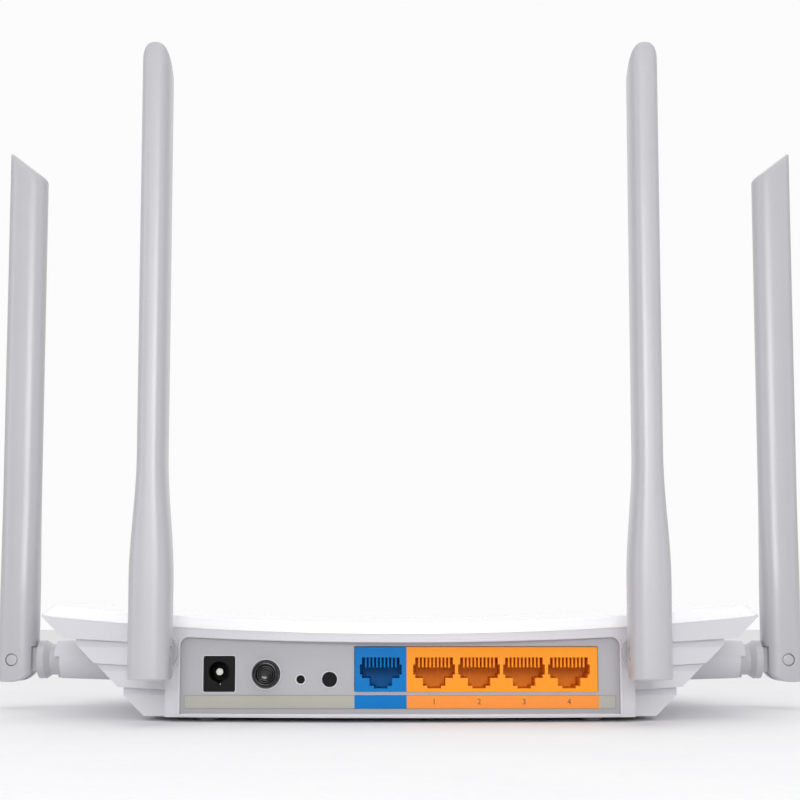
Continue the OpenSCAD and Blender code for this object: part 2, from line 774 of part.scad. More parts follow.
module blade() {
    room_lo = 14;
    color(grey_c) difference() {
        intersection() {
            translate([blade_cx, 0, blade_lo]) cylinder(h = blade_l, r = blade_r, $fn = 96);
            rotate([90, 0, 90]) translate([0, 0, -far / 2]) linear_extrude(far) blade_front();
            rotate([90, 0, 0]) translate([0, 0, -blade_depth]) linear_extrude(2 * blade_depth) blade_side();
        }
        // Slot for the tongue, open inwards and downwards
        translate([-far + slot_h, -slot_t / 2, -far + slot_h]) cube([far, slot_t, far]);
        // Relief that clears the knuckle's flange
        translate([-pin_in - eps, -blade_r, -slot_h - fit]) cube([eps + 1.4, blade_depth, 2 * slot_h + 2 * fit]);
        rotate([90, 0, 0]) translate([0, 0, -blade_r]) cylinder(h = blade_depth, r = pin_r + play);
        radiator_room(room_lo);
        translate([blade_cx, cable_y, slot_h - eps]) cylinder(h = room_lo, r = lead_r + fit, $fn = 24);
    }
}

// Hollow of a blade that holds its radiator
radiator_w = 8;
radiator_l = 120;
radiator_t = 0.8;
room_wall = 1.4;
cable_y = lead_r - radiator_t / 2;
module radiator_room(z) {
    h = blade_l - pin_up - tip_fall - z - 8;
    w = blade_w - 2 * room_wall;
    intersection() {
        translate([blade_cx, 0, z]) cylinder(h = h, r = blade_r - room_wall, $fn = 96);
        translate([blade_cx - blade_r, -w / 2, z]) cube([blade_depth, w, h]);
    }
}

module radiator() {
    color(green_c) translate([blade_cx - radiator_w / 2, -1.5 * radiator_t, 14]) cube([radiator_w, radiator_t, radiator_l]);
}

module cable() {
    color(black_c) translate([blade_cx, cable_y, slot_h]) cylinder(h = 36, r = lead_r, $fn = 24);
}

module hinge_pin() {
    l = blade_foot_w - 2 * fit;
    color(grey_c) rotate([90, 0, 0]) translate([0, 0, -l / 2]) cylinder(h = l, r = pin_r);
}

// Knuckle: tongue, flange, shank in the barrel and a snap collar inside the case
module knuckle(reach) {
    cone_at = flange_at + flange_t;
    shank_at = cone_at + cone_t;
    tail_end = reach + fit;
    snap_end = tail_end + snap_t;
    color(grey_c) difference() {
        union() {
            rotate([90, 0, 0]) translate([0, 0, -tongue_t / 2]) linear_extrude(tongue_t) union() {
                circle(r = tongue_h / 2);
                translate([-flange_at - eps, -tongue_h / 2]) square([flange_at + eps, tongue_h]);
            }
            rotate([0, -90, 0]) rotate_extrude() polygon([[0, flange_at], [flange_r, flange_at], [flange_r, cone_at],
                [shank_r, shank_at], [shank_r, bearing_end], [tail_r, bearing_end], [tail_r, tail_end],
                [snap_r, tail_end], [snap_r, snap_end], [0, snap_end]]);
            translate([-mouth_at - mouth_step + fit, -0.75, -barrel_r + fit])
                cube([mouth_step - 2 * fit, 1.5, barrel_r - shank_r + eps]);
        }
        rotate([90, 0, 0]) translate([0, 0, -blade_r]) cylinder(h = blade_depth, r = pin_r);
        translate([-snap_end - eps, 0, 0]) rotate([0, 90, 0]) cylinder(h = snap_end + eps - pin_r - 2.4, r = lead_hole_r);
    }
}

top_cover();
bottom_case();
port_label();
rating_label();
rubber_feet();
case_screws();
circuit_board();
board_screws();
wan_socket();
wan_contacts();
lan_sockets();
lan_contacts();
dc_socket();
dc_pin();
dc_spring();
power_switch();
wps_switch();
reset_switch();
power_button();
wps_button();
reset_button();
main_chip();
heat_sink();
radio_chips();
shield_cans();
memory_chips();
network_transformers();
electrolytic_capacitors();
power_inductors();
crystals();
status_leds();
light_guide();
lead_connectors();
antenna_leads();
at_site(0) blade();  // side_left_blade
at_site(0) radiator();  // side_left_radiator
at_site(0) cable();  // side_left_cable
at_site(0) knuckle(side_reach);  // side_left_knuckle
at_site(0) hinge_pin();  // side_left_pin
at_site(1) blade();  // rear_left_blade
at_site(1) radiator();  // rear_left_radiator
at_site(1) cable();  // rear_left_cable
at_site(1) knuckle(rear_reach);  // rear_left_knuckle
at_site(1) hinge_pin();  // rear_left_pin
at_site(2) blade();  // rear_right_blade
at_site(2) radiator();  // rear_right_radiator
at_site(2) cable();  // rear_right_cable
at_site(2) knuckle(rear_reach);  // rear_right_knuckle
at_site(2) hinge_pin();  // rear_right_pin
at_site(3) blade();  // side_right_blade
at_site(3) radiator();  // side_right_radiator
at_site(3) cable();  // side_right_cable
at_site(3) knuckle(side_reach);  // side_right_knuckle
at_site(3) hinge_pin();  // side_right_pin
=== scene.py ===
"""Wireless router: the look of the object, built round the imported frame."""
import logging
import math
from dataclasses import dataclass, field, replace
from enum import Enum
from typing import Callable

import bmesh
import bpy
import numpy as np
from mathutils import Matrix, Vector


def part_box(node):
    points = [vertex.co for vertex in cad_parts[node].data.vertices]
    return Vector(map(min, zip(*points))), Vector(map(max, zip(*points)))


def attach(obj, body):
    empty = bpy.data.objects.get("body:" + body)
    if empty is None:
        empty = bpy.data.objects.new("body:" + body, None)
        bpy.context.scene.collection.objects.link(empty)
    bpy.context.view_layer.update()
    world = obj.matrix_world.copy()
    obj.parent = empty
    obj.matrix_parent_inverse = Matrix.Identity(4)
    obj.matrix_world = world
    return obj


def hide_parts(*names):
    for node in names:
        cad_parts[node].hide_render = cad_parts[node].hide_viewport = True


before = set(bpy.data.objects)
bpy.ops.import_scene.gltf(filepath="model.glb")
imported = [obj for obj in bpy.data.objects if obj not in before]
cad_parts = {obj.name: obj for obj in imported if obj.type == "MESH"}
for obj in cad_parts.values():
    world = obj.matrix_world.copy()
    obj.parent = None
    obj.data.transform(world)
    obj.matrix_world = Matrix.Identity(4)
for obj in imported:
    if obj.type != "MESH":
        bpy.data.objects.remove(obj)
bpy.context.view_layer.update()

LOG = logging.getLogger("router")
MM = 0.001
SITES = ("side_left", "rear_left", "rear_right", "side_right")
SHARP = 32.0        # degrees: edges that turn by more are shaded sharp
WELD = 1e-7         # metres: points closer than this are one point
SLIVER = 1e-8       # metres: edges shorter than this are dissolved
Corner = tuple[float, float, float]
Rows = tuple[tuple[float, ...], ...]


# ---------------------------------------------------------------- numbers and nodes

def linear(code: str) -> tuple[float, float, float, float]:
    """Turn an sRGB hex colour into linear light.

    Args:
        code: six hex digits after a hash.

    Returns:
        Red, green, blue and an alpha of one.
    """
    values = [int(code[i:i + 2], 16) / 255 for i in (1, 3, 5)]
    light = [v / 12.92 if v <= 0.04045 else ((v + 0.055) / 1.055) ** 2.4 for v in values]
    return (light[0], light[1], light[2], 1.0)


def add_node(tree: bpy.types.NodeTree, kind: str, settings: dict | None = None,
             links: dict | None = None) -> bpy.types.Node:
    """Add one node with its settings and links.

    Args:
        tree: the tree that gets the node.
        kind: Blender's name of the node type.
        settings: attribute names, or input names, with their values; "stops" gives a colour
            ramp's positions and hex colours.
        links: input names with the output sockets that feed them.

    Returns:
        The new node.
    """
    node = tree.nodes.new(kind)
    for key, value in (settings or {}).items():
        if key == "stops":
            elements = node.color_ramp.elements
            while len(elements) < len(value):
                elements.new(1.0)
            for element, (position, code) in zip(elements, value):
                element.position, element.color = position, linear(code)
        elif isinstance(key, str) and hasattr(node, key):
            setattr(node, key, value)
        else:
            node.inputs[key].default_value = value
    for key, socket in (links or {}).items():
        tree.links.new(socket, node.inputs[key])
    return node


def new_tree(name: str) -> tuple[bpy.types.Material, bpy.types.NodeTree, bpy.types.NodeSocket]:
    """Make an empty material.

    Args:
        name: the material's name.

    Returns:
        The material, its node tree and its Object coordinates.
    """
    material = bpy.data.materials.new(name)
    material.use_nodes = True
    tree = material.node_tree
    tree.nodes.clear()
    return material, tree, add_node(tree, "ShaderNodeTexCoord").outputs["Object"]


# ---------------------------------------------------------------- finishes

@dataclass(frozen=True)
class Moulded:
    """Injection-moulded plastic with a spark-eroded skin.

    The tool's fine pits break up the gloss and the resin varies a little in tone. The real
    grain is finer than the render shows, so it is drawn as coarse as it needs to show.
    """
    name: str
    colour: str
    fleck: str
    roughness: float
    coat: float = 0.0
    coat_roughness: float = 0.12
    grain: float = 0.9
    relief: float = 0.012
    cloud: float = 45.0
    ior: float = 1.52
    shine: float = 0.5
    stops: tuple[float, float] = (0.32, 0.62)
    gloss_spread: float = 0.12
    pits: float = 0.6
    # The panel fields paint shade: they darken the recessed panel's colour in place of the shade under its
    # overhang
    panel_y: float | None = None
    recess_shade_tone: float = 0.66
    panel_depth: float = 0.1

    def build(self) -> bpy.types.Material:
        """Make the material and return it."""
        material, tree, place = new_tree(self.name)
        grain = add_node(tree, "ShaderNodeTexNoise",
                         {"Scale": 1 / (self.grain * MM), "Detail": 3.0, "Roughness": 0.6},
                         {"Vector": place})
        cloud = add_node(tree, "ShaderNodeTexNoise",
                         {"Scale": 1 / (self.cloud * MM), "Detail": 2.0}, {"Vector": place})
        both = add_node(tree, "ShaderNodeMath", {"operation": "MULTIPLY", 1: 0.5},
                        {0: add_node(tree, "ShaderNodeMath", {"operation": "ADD"},
                                     {0: grain.outputs["Fac"], 1: cloud.outputs["Fac"]}).outputs[0]})
        tone = add_node(tree, "ShaderNodeValToRGB",
                        {"stops": tuple(zip(self.stops, (self.fleck, self.colour)))},
                        {"Fac": both.outputs[0]})
        dull = add_node(tree, "ShaderNodeMapRange",
                        {"From Min": 0.3, "From Max": 0.7,
                         "To Min": self.roughness * (1 - self.gloss_spread),
                         "To Max": min(1.0, self.roughness * (1 + self.gloss_spread))},
                        {"Value": grain.outputs["Fac"]})
        bump = add_node(tree, "ShaderNodeBump", {"Strength": self.pits, "Distance": self.relief * MM},
                        {"Height": grain.outputs["Fac"]})
        colour = tone.outputs["Color"]
        # Painted shade: the recessed panel's colour is darkened
        if self.panel_y is not None:
            colour = self.paint_recess_shade(tree, place, colour)
        shader = add_node(tree, "ShaderNodeBsdfPrincipled",
                          {"IOR": self.ior, "Coat Weight": self.coat,
                           "Coat Roughness": self.coat_roughness, "Specular IOR Level": self.shine},
                          {"Base Color": colour, "Roughness": dull.outputs[0],
                           "Normal": bump.outputs["Normal"]})
        add_node(tree, "ShaderNodeOutputMaterial", links={"Surface": shader.outputs[0]})
        return material

    def paint_recess_shade(self, tree: bpy.types.NodeTree, place: bpy.types.NodeSocket,
                     colour: bpy.types.NodeSocket) -> bpy.types.NodeSocket:
        """Paint shade on the recessed panel: darken its colour where the shade under the recess's overhang
        falls.

        Args:
            tree: the material's tree.
            place: Object coordinates.
            colour: the plain colour.

        Returns:
            The colour with the painted shade on the panel.
        """
        depth = add_node(tree, "ShaderNodeSeparateXYZ", links={"Vector": place})
        inside = add_node(tree, "ShaderNodeMath",
                          {"operation": "COMPARE", 1: self.panel_y, 2: self.panel_depth * MM},
                          {0: depth.outputs["Y"]})
        share = add_node(tree, "ShaderNodeMapRange", {"To Min": 1.0, "To Max": self.recess_shade_tone},
                         {"Value": inside.outputs[0]})
        return add_node(tree, "ShaderNodeVectorMath", {"operation": "SCALE"},
                        {0: colour, "Scale": share.outputs[0]}).outputs[0]


@dataclass(frozen=True)
class Plated:
    """Plated or bare metal, with fine lines from drawing or rolling along one axis."""
    name: str
    colour: str
    dark: str
    roughness: float
    line: float = 0.25
    along: tuple[float, float, float] = (1.0, 0.05, 1.0)
    stops: tuple[float, float] = (0.3, 0.6)
    gloss_spread: float = 0.3
    relief: float = 0.01
    scratches: float = 0.3

    def build(self) -> bpy.types.Material:
        """Make the material and return it."""
        material, tree, place = new_tree(self.name)
        turned = add_node(tree, "ShaderNodeMapping", {"Scale": self.along}, {"Vector": place})
        lines = add_node(tree, "ShaderNodeTexNoise", {"Scale": 1 / (self.line * MM), "Detail": 2.0},
                         {"Vector": turned.outputs[0]})
        tone = add_node(tree, "ShaderNodeValToRGB",
                        {"stops": tuple(zip(self.stops, (self.dark, self.colour)))},
                        {"Fac": lines.outputs["Fac"]})
        dull = add_node(tree, "ShaderNodeMapRange",
                        {"To Min": self.roughness * (1 - self.gloss_spread),
                         "To Max": self.roughness * (1 + self.gloss_spread)},
                        {"Value": lines.outputs["Fac"]})
        bump = add_node(tree, "ShaderNodeBump",
                        {"Strength": self.scratches, "Distance": self.relief * MM},
                        {"Height": lines.outputs["Fac"]})
        shader = add_node(tree, "ShaderNodeBsdfPrincipled", {"Metallic": 1.0},
                          {"Base Color": tone.outputs["Color"], "Roughness": dull.outputs[0],
                           "Normal": bump.outputs["Normal"]})
        add_node(tree, "ShaderNodeOutputMaterial", links={"Surface": shader.outputs[0]})
        return material


@dataclass(frozen=True)
class SolderMask:
    """Fibreglass board under a green solder mask: copper tracks show as lighter lines."""
    name: str = "fibreglass_board_solder_mask"
    mask: str = "#0c4a2c"
    track: str = "#1b6b3f"
    pitch: float = 1.6
    stops: tuple[float, float] = (0.30, 0.34)
    relief: float = 0.03
    steps: float = 0.5
    roughness: float = 0.28
    ior: float = 1.55

    def build(self) -> bpy.types.Material:
        """Make the material and return it."""
        material, tree, place = new_tree(self.name)
        tracks = add_node(tree, "ShaderNodeTexVoronoi",
                          {"distance": "CHEBYCHEV", "feature": "F1", "Scale": 1 / (self.pitch * MM)},
                          {"Vector": place})
        tone = add_node(tree, "ShaderNodeValToRGB",
                        {"stops": tuple(zip(self.stops, (self.track, self.mask)))},
                        {"Fac": tracks.outputs["Distance"]})
        bump = add_node(tree, "ShaderNodeBump",
                        {"Strength": self.steps, "Distance": self.relief * MM, "invert": True},
                        {"Height": tracks.outputs["Distance"]})
        shader = add_node(tree, "ShaderNodeBsdfPrincipled",
                          {"Roughness": self.roughness, "IOR": self.ior},
                          {"Base Color": tone.outputs["Color"], "Normal": bump.outputs["Normal"]})
        add_node(tree, "ShaderNodeOutputMaterial", links={"Surface": shader.outputs[0]})
        return material


@dataclass(frozen=True)
class PrintedFilm:
    """Screen-printed polycarbonate film: flat colour zones from left to right, satin face."""
    name: str
    zones: tuple[tuple[float, str], ...]
    low: tuple[float, float]
    high: tuple[float, float]
    axis: str = "Z"
    border: float = 0.2
    border_tone: float = 0.72
    roughness: float = 0.5
    dot: float = 0.5
    ink: tuple[float, float] = (0.93, 1.03)
    relief: float = 0.008
    dots: float = 0.3
    ior: float = 1.5
    shine: float = 0.15

    def build(self) -> bpy.types.Material:
        """Make the material and return it."""
        material, tree, place = new_tree(self.name)
        across = add_node(tree, "ShaderNodeSeparateXYZ", links={"Vector": place})
        share = add_node(tree, "ShaderNodeMapRange",
                         {"From Min": self.low[0] * MM, "From Max": self.high[0] * MM},
                         {"Value": across.outputs["X"]})
        width = self.high[0] - self.low[0]
        ramp = add_node(tree, "ShaderNodeValToRGB",
                        {"stops": tuple(((start - self.low[0]) / width, code)
                                        for start, code in self.zones)},
                        {"Fac": share.outputs[0]})
        ramp.color_ramp.interpolation = "CONSTANT"
        dots = add_node(tree, "ShaderNodeTexNoise", {"Scale": 1 / (self.dot * MM), "Detail": 2.0},
                        {"Vector": place})
        ink = add_node(tree, "ShaderNodeMapRange", {"To Min": self.ink[0], "To Max": self.ink[1]},
                       {"Value": dots.outputs["Fac"]})
        line = self.edge_line(tree, across)
        shade = add_node(tree, "ShaderNodeMath", {"operation": "MULTIPLY"}, {0: ink.outputs[0], 1: line})
        tone = add_node(tree, "ShaderNodeVectorMath", {"operation": "SCALE"},
                        {0: ramp.outputs["Color"], "Scale": shade.outputs[0]})
        bump = add_node(tree, "ShaderNodeBump", {"Strength": self.dots, "Distance": self.relief * MM},
                        {"Height": dots.outputs["Fac"]})
        shader = add_node(tree, "ShaderNodeBsdfPrincipled",
                          {"Roughness": self.roughness, "IOR": self.ior,
                           "Specular IOR Level": self.shine},
                          {"Base Color": tone.outputs[0], "Normal": bump.outputs["Normal"]})
        add_node(tree, "ShaderNodeOutputMaterial", links={"Surface": shader.outputs[0]})
        return material

    def edge_line(self, tree: bpy.types.NodeTree, place: bpy.types.Node) -> bpy.types.NodeSocket:
        """Darken a thin border, where the least distance to the four edges is under its width.

        Args:
            tree: the material's tree.
            place: the separated Object coordinates.

        Returns:
            One inside and the border's tone on the border.
        """
        least = None
        for name, low, high in zip(("X", self.axis), self.low, self.high):
            for sign, edge in ((1.0, -low), (-1.0, high)):
                gap = add_node(tree, "ShaderNodeMath",
                               {"operation": "MULTIPLY_ADD", 1: sign, 2: edge * MM},
                               {0: place.outputs[name]}).outputs[0]
                least = gap if least is None else add_node(
                    tree, "ShaderNodeMath", {"operation": "MINIMUM"}, {0: least, 1: gap}).outputs[0]
        inside = add_node(tree, "ShaderNodeMath", {"operation": "GREATER_THAN", 1: self.border * MM},
                          {0: least})
        return add_node(tree, "ShaderNodeMapRange", {"To Min": self.border_tone, "To Max": 1.0},
                        {"Value": inside.outputs[0]}).outputs[0]


@dataclass(frozen=True)
class Acrylic:
    """Clear moulded acrylic, polished in the tool, faintly clouded by its flow."""
    name: str = "moulded_clear_acrylic"
    tint: str = "#e8f2ee"
    flow: float = 6.0
    roughness: tuple[float, float] = (0.05, 0.2)
    ior: float = 1.49
    clearness: float = 0.7

    def build(self) -> bpy.types.Material:
        """Make the material and return it."""
        material, tree, place = new_tree(self.name)
        flow = add_node(tree, "ShaderNodeTexNoise", {"Scale": 1 / (self.flow * MM)}, {"Vector": place})
        dull = add_node(tree, "ShaderNodeMapRange",
                        {"To Min": self.roughness[0], "To Max": self.roughness[1]},
                        {"Value": flow.outputs["Fac"]})
        shader = add_node(tree, "ShaderNodeBsdfPrincipled",
                          {"Base Color": linear(self.tint), "IOR": self.ior,
                           "Transmission Weight": self.clearness},
                          {"Roughness": dull.outputs[0]})
        add_node(tree, "ShaderNodeOutputMaterial", links={"Surface": shader.outputs[0]})
        return material


class Finish(Enum):
    """The object's finishes, each named for its material and process."""
    # Gloss ABS from a polished tool: bright, with a soft clear reflection
    COVER = Moulded("gloss_moulded_abs_white", "#fcfcfd", "#f8f8fa", 0.22, coat=0.5, coat_roughness=0.06,
                    grain=2.5, relief=0.001)
    # Light grey ABS from a finely spark-eroded tool: satin, slightly cool
    CASE = Moulded("satin_moulded_abs_grey", "#d6d5da", "#d2d1d6", 0.42, coat=0.12, coat_roughness=0.3,
                   grain=0.7, relief=0.005)
    # The same resin on the antennas, from a smoother tool
    ANTENNA = Moulded("smooth_moulded_abs_grey", "#bab9be", "#b6b5ba", 0.36, coat=0.6, coat_roughness=0.28,
                      grain=0.8, relief=0.002)
    # Glass-filled PBT of the sockets: saturated, with a dry satin face
    INTERNET = Moulded("moulded_pbt_blue", "#007bc8", "#0074be", 0.45, grain=0.7, relief=0.006,
                       shine=0.15)
    LOCAL = Moulded("moulded_pbt_orange", "#ffa02a", "#ff9a22", 0.45, grain=0.7, relief=0.006,
                    shine=0.15)
    # Black nylon of the inlet, small buttons and switches
    NYLON = Moulded("moulded_nylon_black", "#0b0b0c", "#070708", 0.5, grain=0.6, relief=0.006,
                    shine=0.16)
    # Polished black ABS of the power button
    BUTTON = Moulded("gloss_moulded_abs_black", "#08080a", "#050506", 0.2, coat=0.45, coat_roughness=0.05,
                     grain=1.5, relief=0.002, shine=0.3)
    # Nitrile rubber of the feet: matt and dusty grey
    RUBBER = Moulded("moulded_nitrile_rubber", "#8f8f93", "#7f7f84", 0.85, grain=0.8, relief=0.03)
    # Black epoxy of the chips and chokes, with a fine blasted face
    EPOXY = Moulded("moulded_epoxy_black", "#1b1c1e", "#131416", 0.55, grain=0.5, relief=0.01)
    # Extruded PVC or FEP jacket of the coaxial leads
    JACKET = Moulded("extruded_fep_jacket_black", "#1a1a1c", "#101012", 0.35, grain=0.8, relief=0.01)
    # Gold flash over nickel on spring contacts
    GOLD = Plated("gold_flashed_bronze", "#e8c274", "#b98f45", 0.22)
    # Nickel plating of the inlet's pin and spring
    NICKEL = Plated("nickel_plated_brass", "#d9d6cf", "#a9a69f", 0.18)
    # Bright zinc on the screws
    ZINC = Plated("zinc_plated_steel", "#c4c7cb", "#8f9398", 0.3)
    # Tin plate of the shield cans and crystal cases
    TIN = Plated("drawn_tin_plate", "#c9c9c6", "#a3a39f", 0.32, along=(0.05, 1.0, 1.0))
    # Extruded aluminium of the heat sink and the capacitors' cans
    ALUMINIUM = Plated("extruded_aluminium", "#c3c6ca", "#9da0a5", 0.35)
    # Dark screen-printing ink
    INK = Moulded("screen_printed_ink", "#5a4636", "#4f3d2f", 0.6, grain=0.4, relief=0.004)
    BOARD = SolderMask()
    LIGHT = Acrylic()
    # Clear epoxy body of a status light, unlit
    LED = Acrylic("cast_clear_epoxy", "#cfe8cf")


FINISHES = {
    Finish.COVER: ("top_cover",),
    Finish.CASE: ("bottom_case",),
    Finish.INTERNET: ("wan_socket",),
    Finish.LOCAL: ("lan_sockets",),
    Finish.NYLON: ("dc_socket", "power_switch", "wps_switch", "reset_switch", "wps_button", "reset_button"),
    Finish.BUTTON: ("power_button",),
    Finish.RUBBER: ("rubber_feet",),
    Finish.EPOXY: ("main_chip", "radio_chips", "memory_chips", "network_transformers", "power_inductors"),
    Finish.GOLD: ("wan_contacts", "lan_contacts", "lead_connectors"),
    Finish.NICKEL: ("dc_pin", "dc_spring"),
    Finish.ZINC: ("case_screws", "board_screws"),
    Finish.TIN: ("shield_cans", "crystals"),
    Finish.ALUMINIUM: ("heat_sink", "electrolytic_capacitors"),
    Finish.BOARD: ("circuit_board",) + tuple(f"{site}_radiator" for site in SITES),
    Finish.LIGHT: ("light_guide",),
    Finish.LED: ("status_leds",),
    Finish.JACKET: ("antenna_leads",) + tuple(f"{site}_cable" for site in SITES),
    Finish.ANTENNA: tuple(f"{site}_{part}" for site in SITES for part in ("blade", "knuckle", "pin")),
}
MATERIALS: dict[Finish, bpy.types.Material] = {}


def material_of(finish: Finish) -> bpy.types.Material:
    """Give a finish's material, made on first use.

    Args:
        finish: the finish.

    Returns:
        The material.
    """
    if finish not in MATERIALS:
        kind = finish.value
        # The case's recessed panel gets painted shade: its colour is darkened at the panel's depth
        if finish is Finish.CASE:
            kind = replace(kind, panel_y=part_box("port_label")[1][1])
        MATERIALS[finish] = kind.build()
    return MATERIALS[finish]


def dress(piece: bpy.types.Object, material: bpy.types.Material) -> None:
    """Give every face of a piece one material, through the object's slots.

    Args:
        piece: a mesh object.
        material: its material.
    """
    if not piece.material_slots:
        piece.data.materials.append(material)
    for slot in piece.material_slots:
        slot.link = "OBJECT"
        slot.material = material


# ---------------------------------------------------------------- surfaces

def grid_faces(rows: int, cols: int) -> np.ndarray:
    """List the four-sided faces of a grid of points whose rows close on themselves.

    Args:
        rows: number of rows.
        cols: number of points in a row.

    Returns:
        One row of four point numbers for each face.
    """
    i, j = np.meshgrid(np.arange(rows - 1), np.arange(cols), indexing="ij")
    k = (j + 1) % cols
    corners = [i * cols + j, i * cols + k, (i + 1) * cols + k, (i + 1) * cols + j]
    return np.stack(corners, axis=-1).reshape(-1, 4)


def place_design(points: np.ndarray) -> np.ndarray:
    """Turn design millimetres, whose depth starts at the rear edge, into metres in the frame."""
    return (points + np.array([0.0, rear_edge(), 0.0])) * MM


def rear_edge() -> float:
    """Return the depth of the cover's rear edge in the frame, in millimetres."""
    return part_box("top_cover")[0][1] / MM


def mesh_object(name: str, points: np.ndarray, faces: np.ndarray,
                sharp: float = SHARP) -> bpy.types.Object:
    """Make a closed, outward-facing mesh object from points in metres.

    Args:
        name: the piece's name.
        points: one row of x, y and z for each point.
        faces: one row of point numbers for each face.
        sharp: edges that turn by more degrees than this are shaded sharp.

    Returns:
        The object, at the origin.
    """
    mesh = bpy.data.meshes.new(name)
    mesh.from_pydata(points.reshape(-1, 3).tolist(), [], faces.tolist())
    work = bmesh.new()
    work.from_mesh(mesh)
    bmesh.ops.remove_doubles(work, verts=work.verts, dist=WELD)
    bmesh.ops.dissolve_degenerate(work, edges=work.edges, dist=SLIVER)
    bmesh.ops.recalc_face_normals(work, faces=work.faces)
    work.to_mesh(mesh)
    work.free()
    return shaded(bpy.data.objects.new(name, mesh), sharp)


def ringed(name: str, grids: list[np.ndarray], sharp: float = SHARP) -> bpy.types.Object:
    """Make one piece of several grids of the same shape, whose rows close on themselves.

    Args:
        name: the piece's name.
        grids: points by row and column, in design millimetres.
        sharp: the sharp angle in degrees.

    Returns:
        The piece.
    """
    rows, cols = grids[0].shape[:2]
    faces = [grid_faces(rows, cols) + number * rows * cols for number in range(len(grids))]
    return mesh_object(name, place_design(np.concatenate(grids)), np.concatenate(faces), sharp)


def shaded(piece: bpy.types.Object, sharp: float) -> bpy.types.Object:
    """Smooth a piece's shading except over sharp edges, and put it in the scene.

    Args:
        piece: a mesh object.
        sharp: the sharp angle in degrees.

    Returns:
        The same object.
    """
    piece.data.shade_smooth()
    piece.data.set_sharp_from_angle(angle=math.radians(sharp))
    if piece.name not in bpy.context.scene.collection.objects:
        bpy.context.scene.collection.objects.link(piece)
    return piece


def settle(piece: bpy.types.Object, finish: Finish, body: str, slot: str, *nodes: str) -> None:
    """Dress a piece, let it ride on a body and hide the CAD nodes that it stands for.

    Args:
        piece: the piece.
        finish: its finish.
        body: the body that it rides on.
        slot: the record's material slot; not used.
        nodes: the CAD nodes that it replaces.
    """
    dress(piece, material_of(finish))
    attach(piece, body)
    if nodes:
        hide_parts(*nodes)
    LOG.info("%s rides on %s, %d faces", piece.name, body, len(piece.data.polygons))


def box_points(lo: Corner, hi: Corner) -> tuple[np.ndarray, np.ndarray]:
    """Give a block between two corners, for cutting.

    Args:
        lo: the lowest corner.
        hi: the highest corner.

    Returns:
        Its eight points and its six faces.
    """
    corners = np.array([[x, y, z] for x in (lo[0], hi[0]) for y in (lo[1], hi[1])
                        for z in (lo[2], hi[2])])
    faces = np.array([[0, 1, 3, 2], [4, 6, 7, 5], [0, 4, 5, 1],
                      [2, 3, 7, 6], [0, 2, 6, 4], [1, 5, 7, 3]])
    return corners, faces


def turned(profile: np.ndarray, steps: int) -> np.ndarray:
    """Turn a profile about the line that runs from rear to front.

    Each point (r, d) becomes the circle x = r cos a, z = r sin a at depth d; a radius of zero
    closes a pole.

    Args:
        profile: rows of radius and depth.
        steps: points round the axis.

    Returns:
        The points by row and column.
    """
    turn = np.linspace(0, 2 * np.pi, steps, endpoint=False)
    radius, depth = profile[:, :1], profile[:, 1:]
    return np.stack([radius * np.cos(turn), depth + 0 * turn, radius * np.sin(turn)], axis=-1)


def rounded_profile(corners: np.ndarray, radii: np.ndarray, steps: int = 5) -> np.ndarray:
    """Round the corners of a profile with quadratic arcs.

    Each corner becomes the curve (1-t)^2 a + 2 t (1-t) c + t^2 b between the two points that
    lie the corner's radius before and after it.

    Args:
        corners: rows of two coordinates.
        radii: one length for each corner, zero where it stays sharp.
        steps: points on each arc.

    Returns:
        The rounded profile.
    """
    share = np.linspace(0, 1, steps)[:, None]
    out = [corners[:1]]
    for before, corner, after, radius in zip(corners[:-2], corners[1:-1], corners[2:], radii[1:-1]):
        if radius <= 0:
            out.append(corner[None])
            continue
        a = corner + (before - corner) * min(0.5, radius / np.linalg.norm(before - corner))
        b = corner + (after - corner) * min(0.5, radius / np.linalg.norm(after - corner))
        out.append((1 - share) ** 2 * a + 2 * share * (1 - share) * corner + share ** 2 * b)
    out.append(corners[-1:])
    return np.concatenate(out)


def cut(piece: bpy.types.Object, cutters: list[bpy.types.Object], sharp: float) -> bpy.types.Object:
    """Cut blocks and pins out of a piece and keep the result as its mesh.

    Args:
        piece: the closed piece.
        cutters: closed objects, removed afterwards.
        sharp: the sharp angle in degrees.

    Returns:
        The same piece.
    """
    for cutter in cutters:
        change = piece.modifiers.new("cut", "BOOLEAN")
        change.operation = "DIFFERENCE"
        change.solver = "EXACT"
        change.object = cutter
    view = bpy.context.evaluated_depsgraph_get()
    result = bpy.data.meshes.new_from_object(piece.evaluated_get(view))
    piece.modifiers.clear()
    piece.data = result
    for cutter in cutters:
        bpy.data.objects.remove(cutter)
    return shaded(piece, sharp)


# ---------------------------------------------------------------- housing

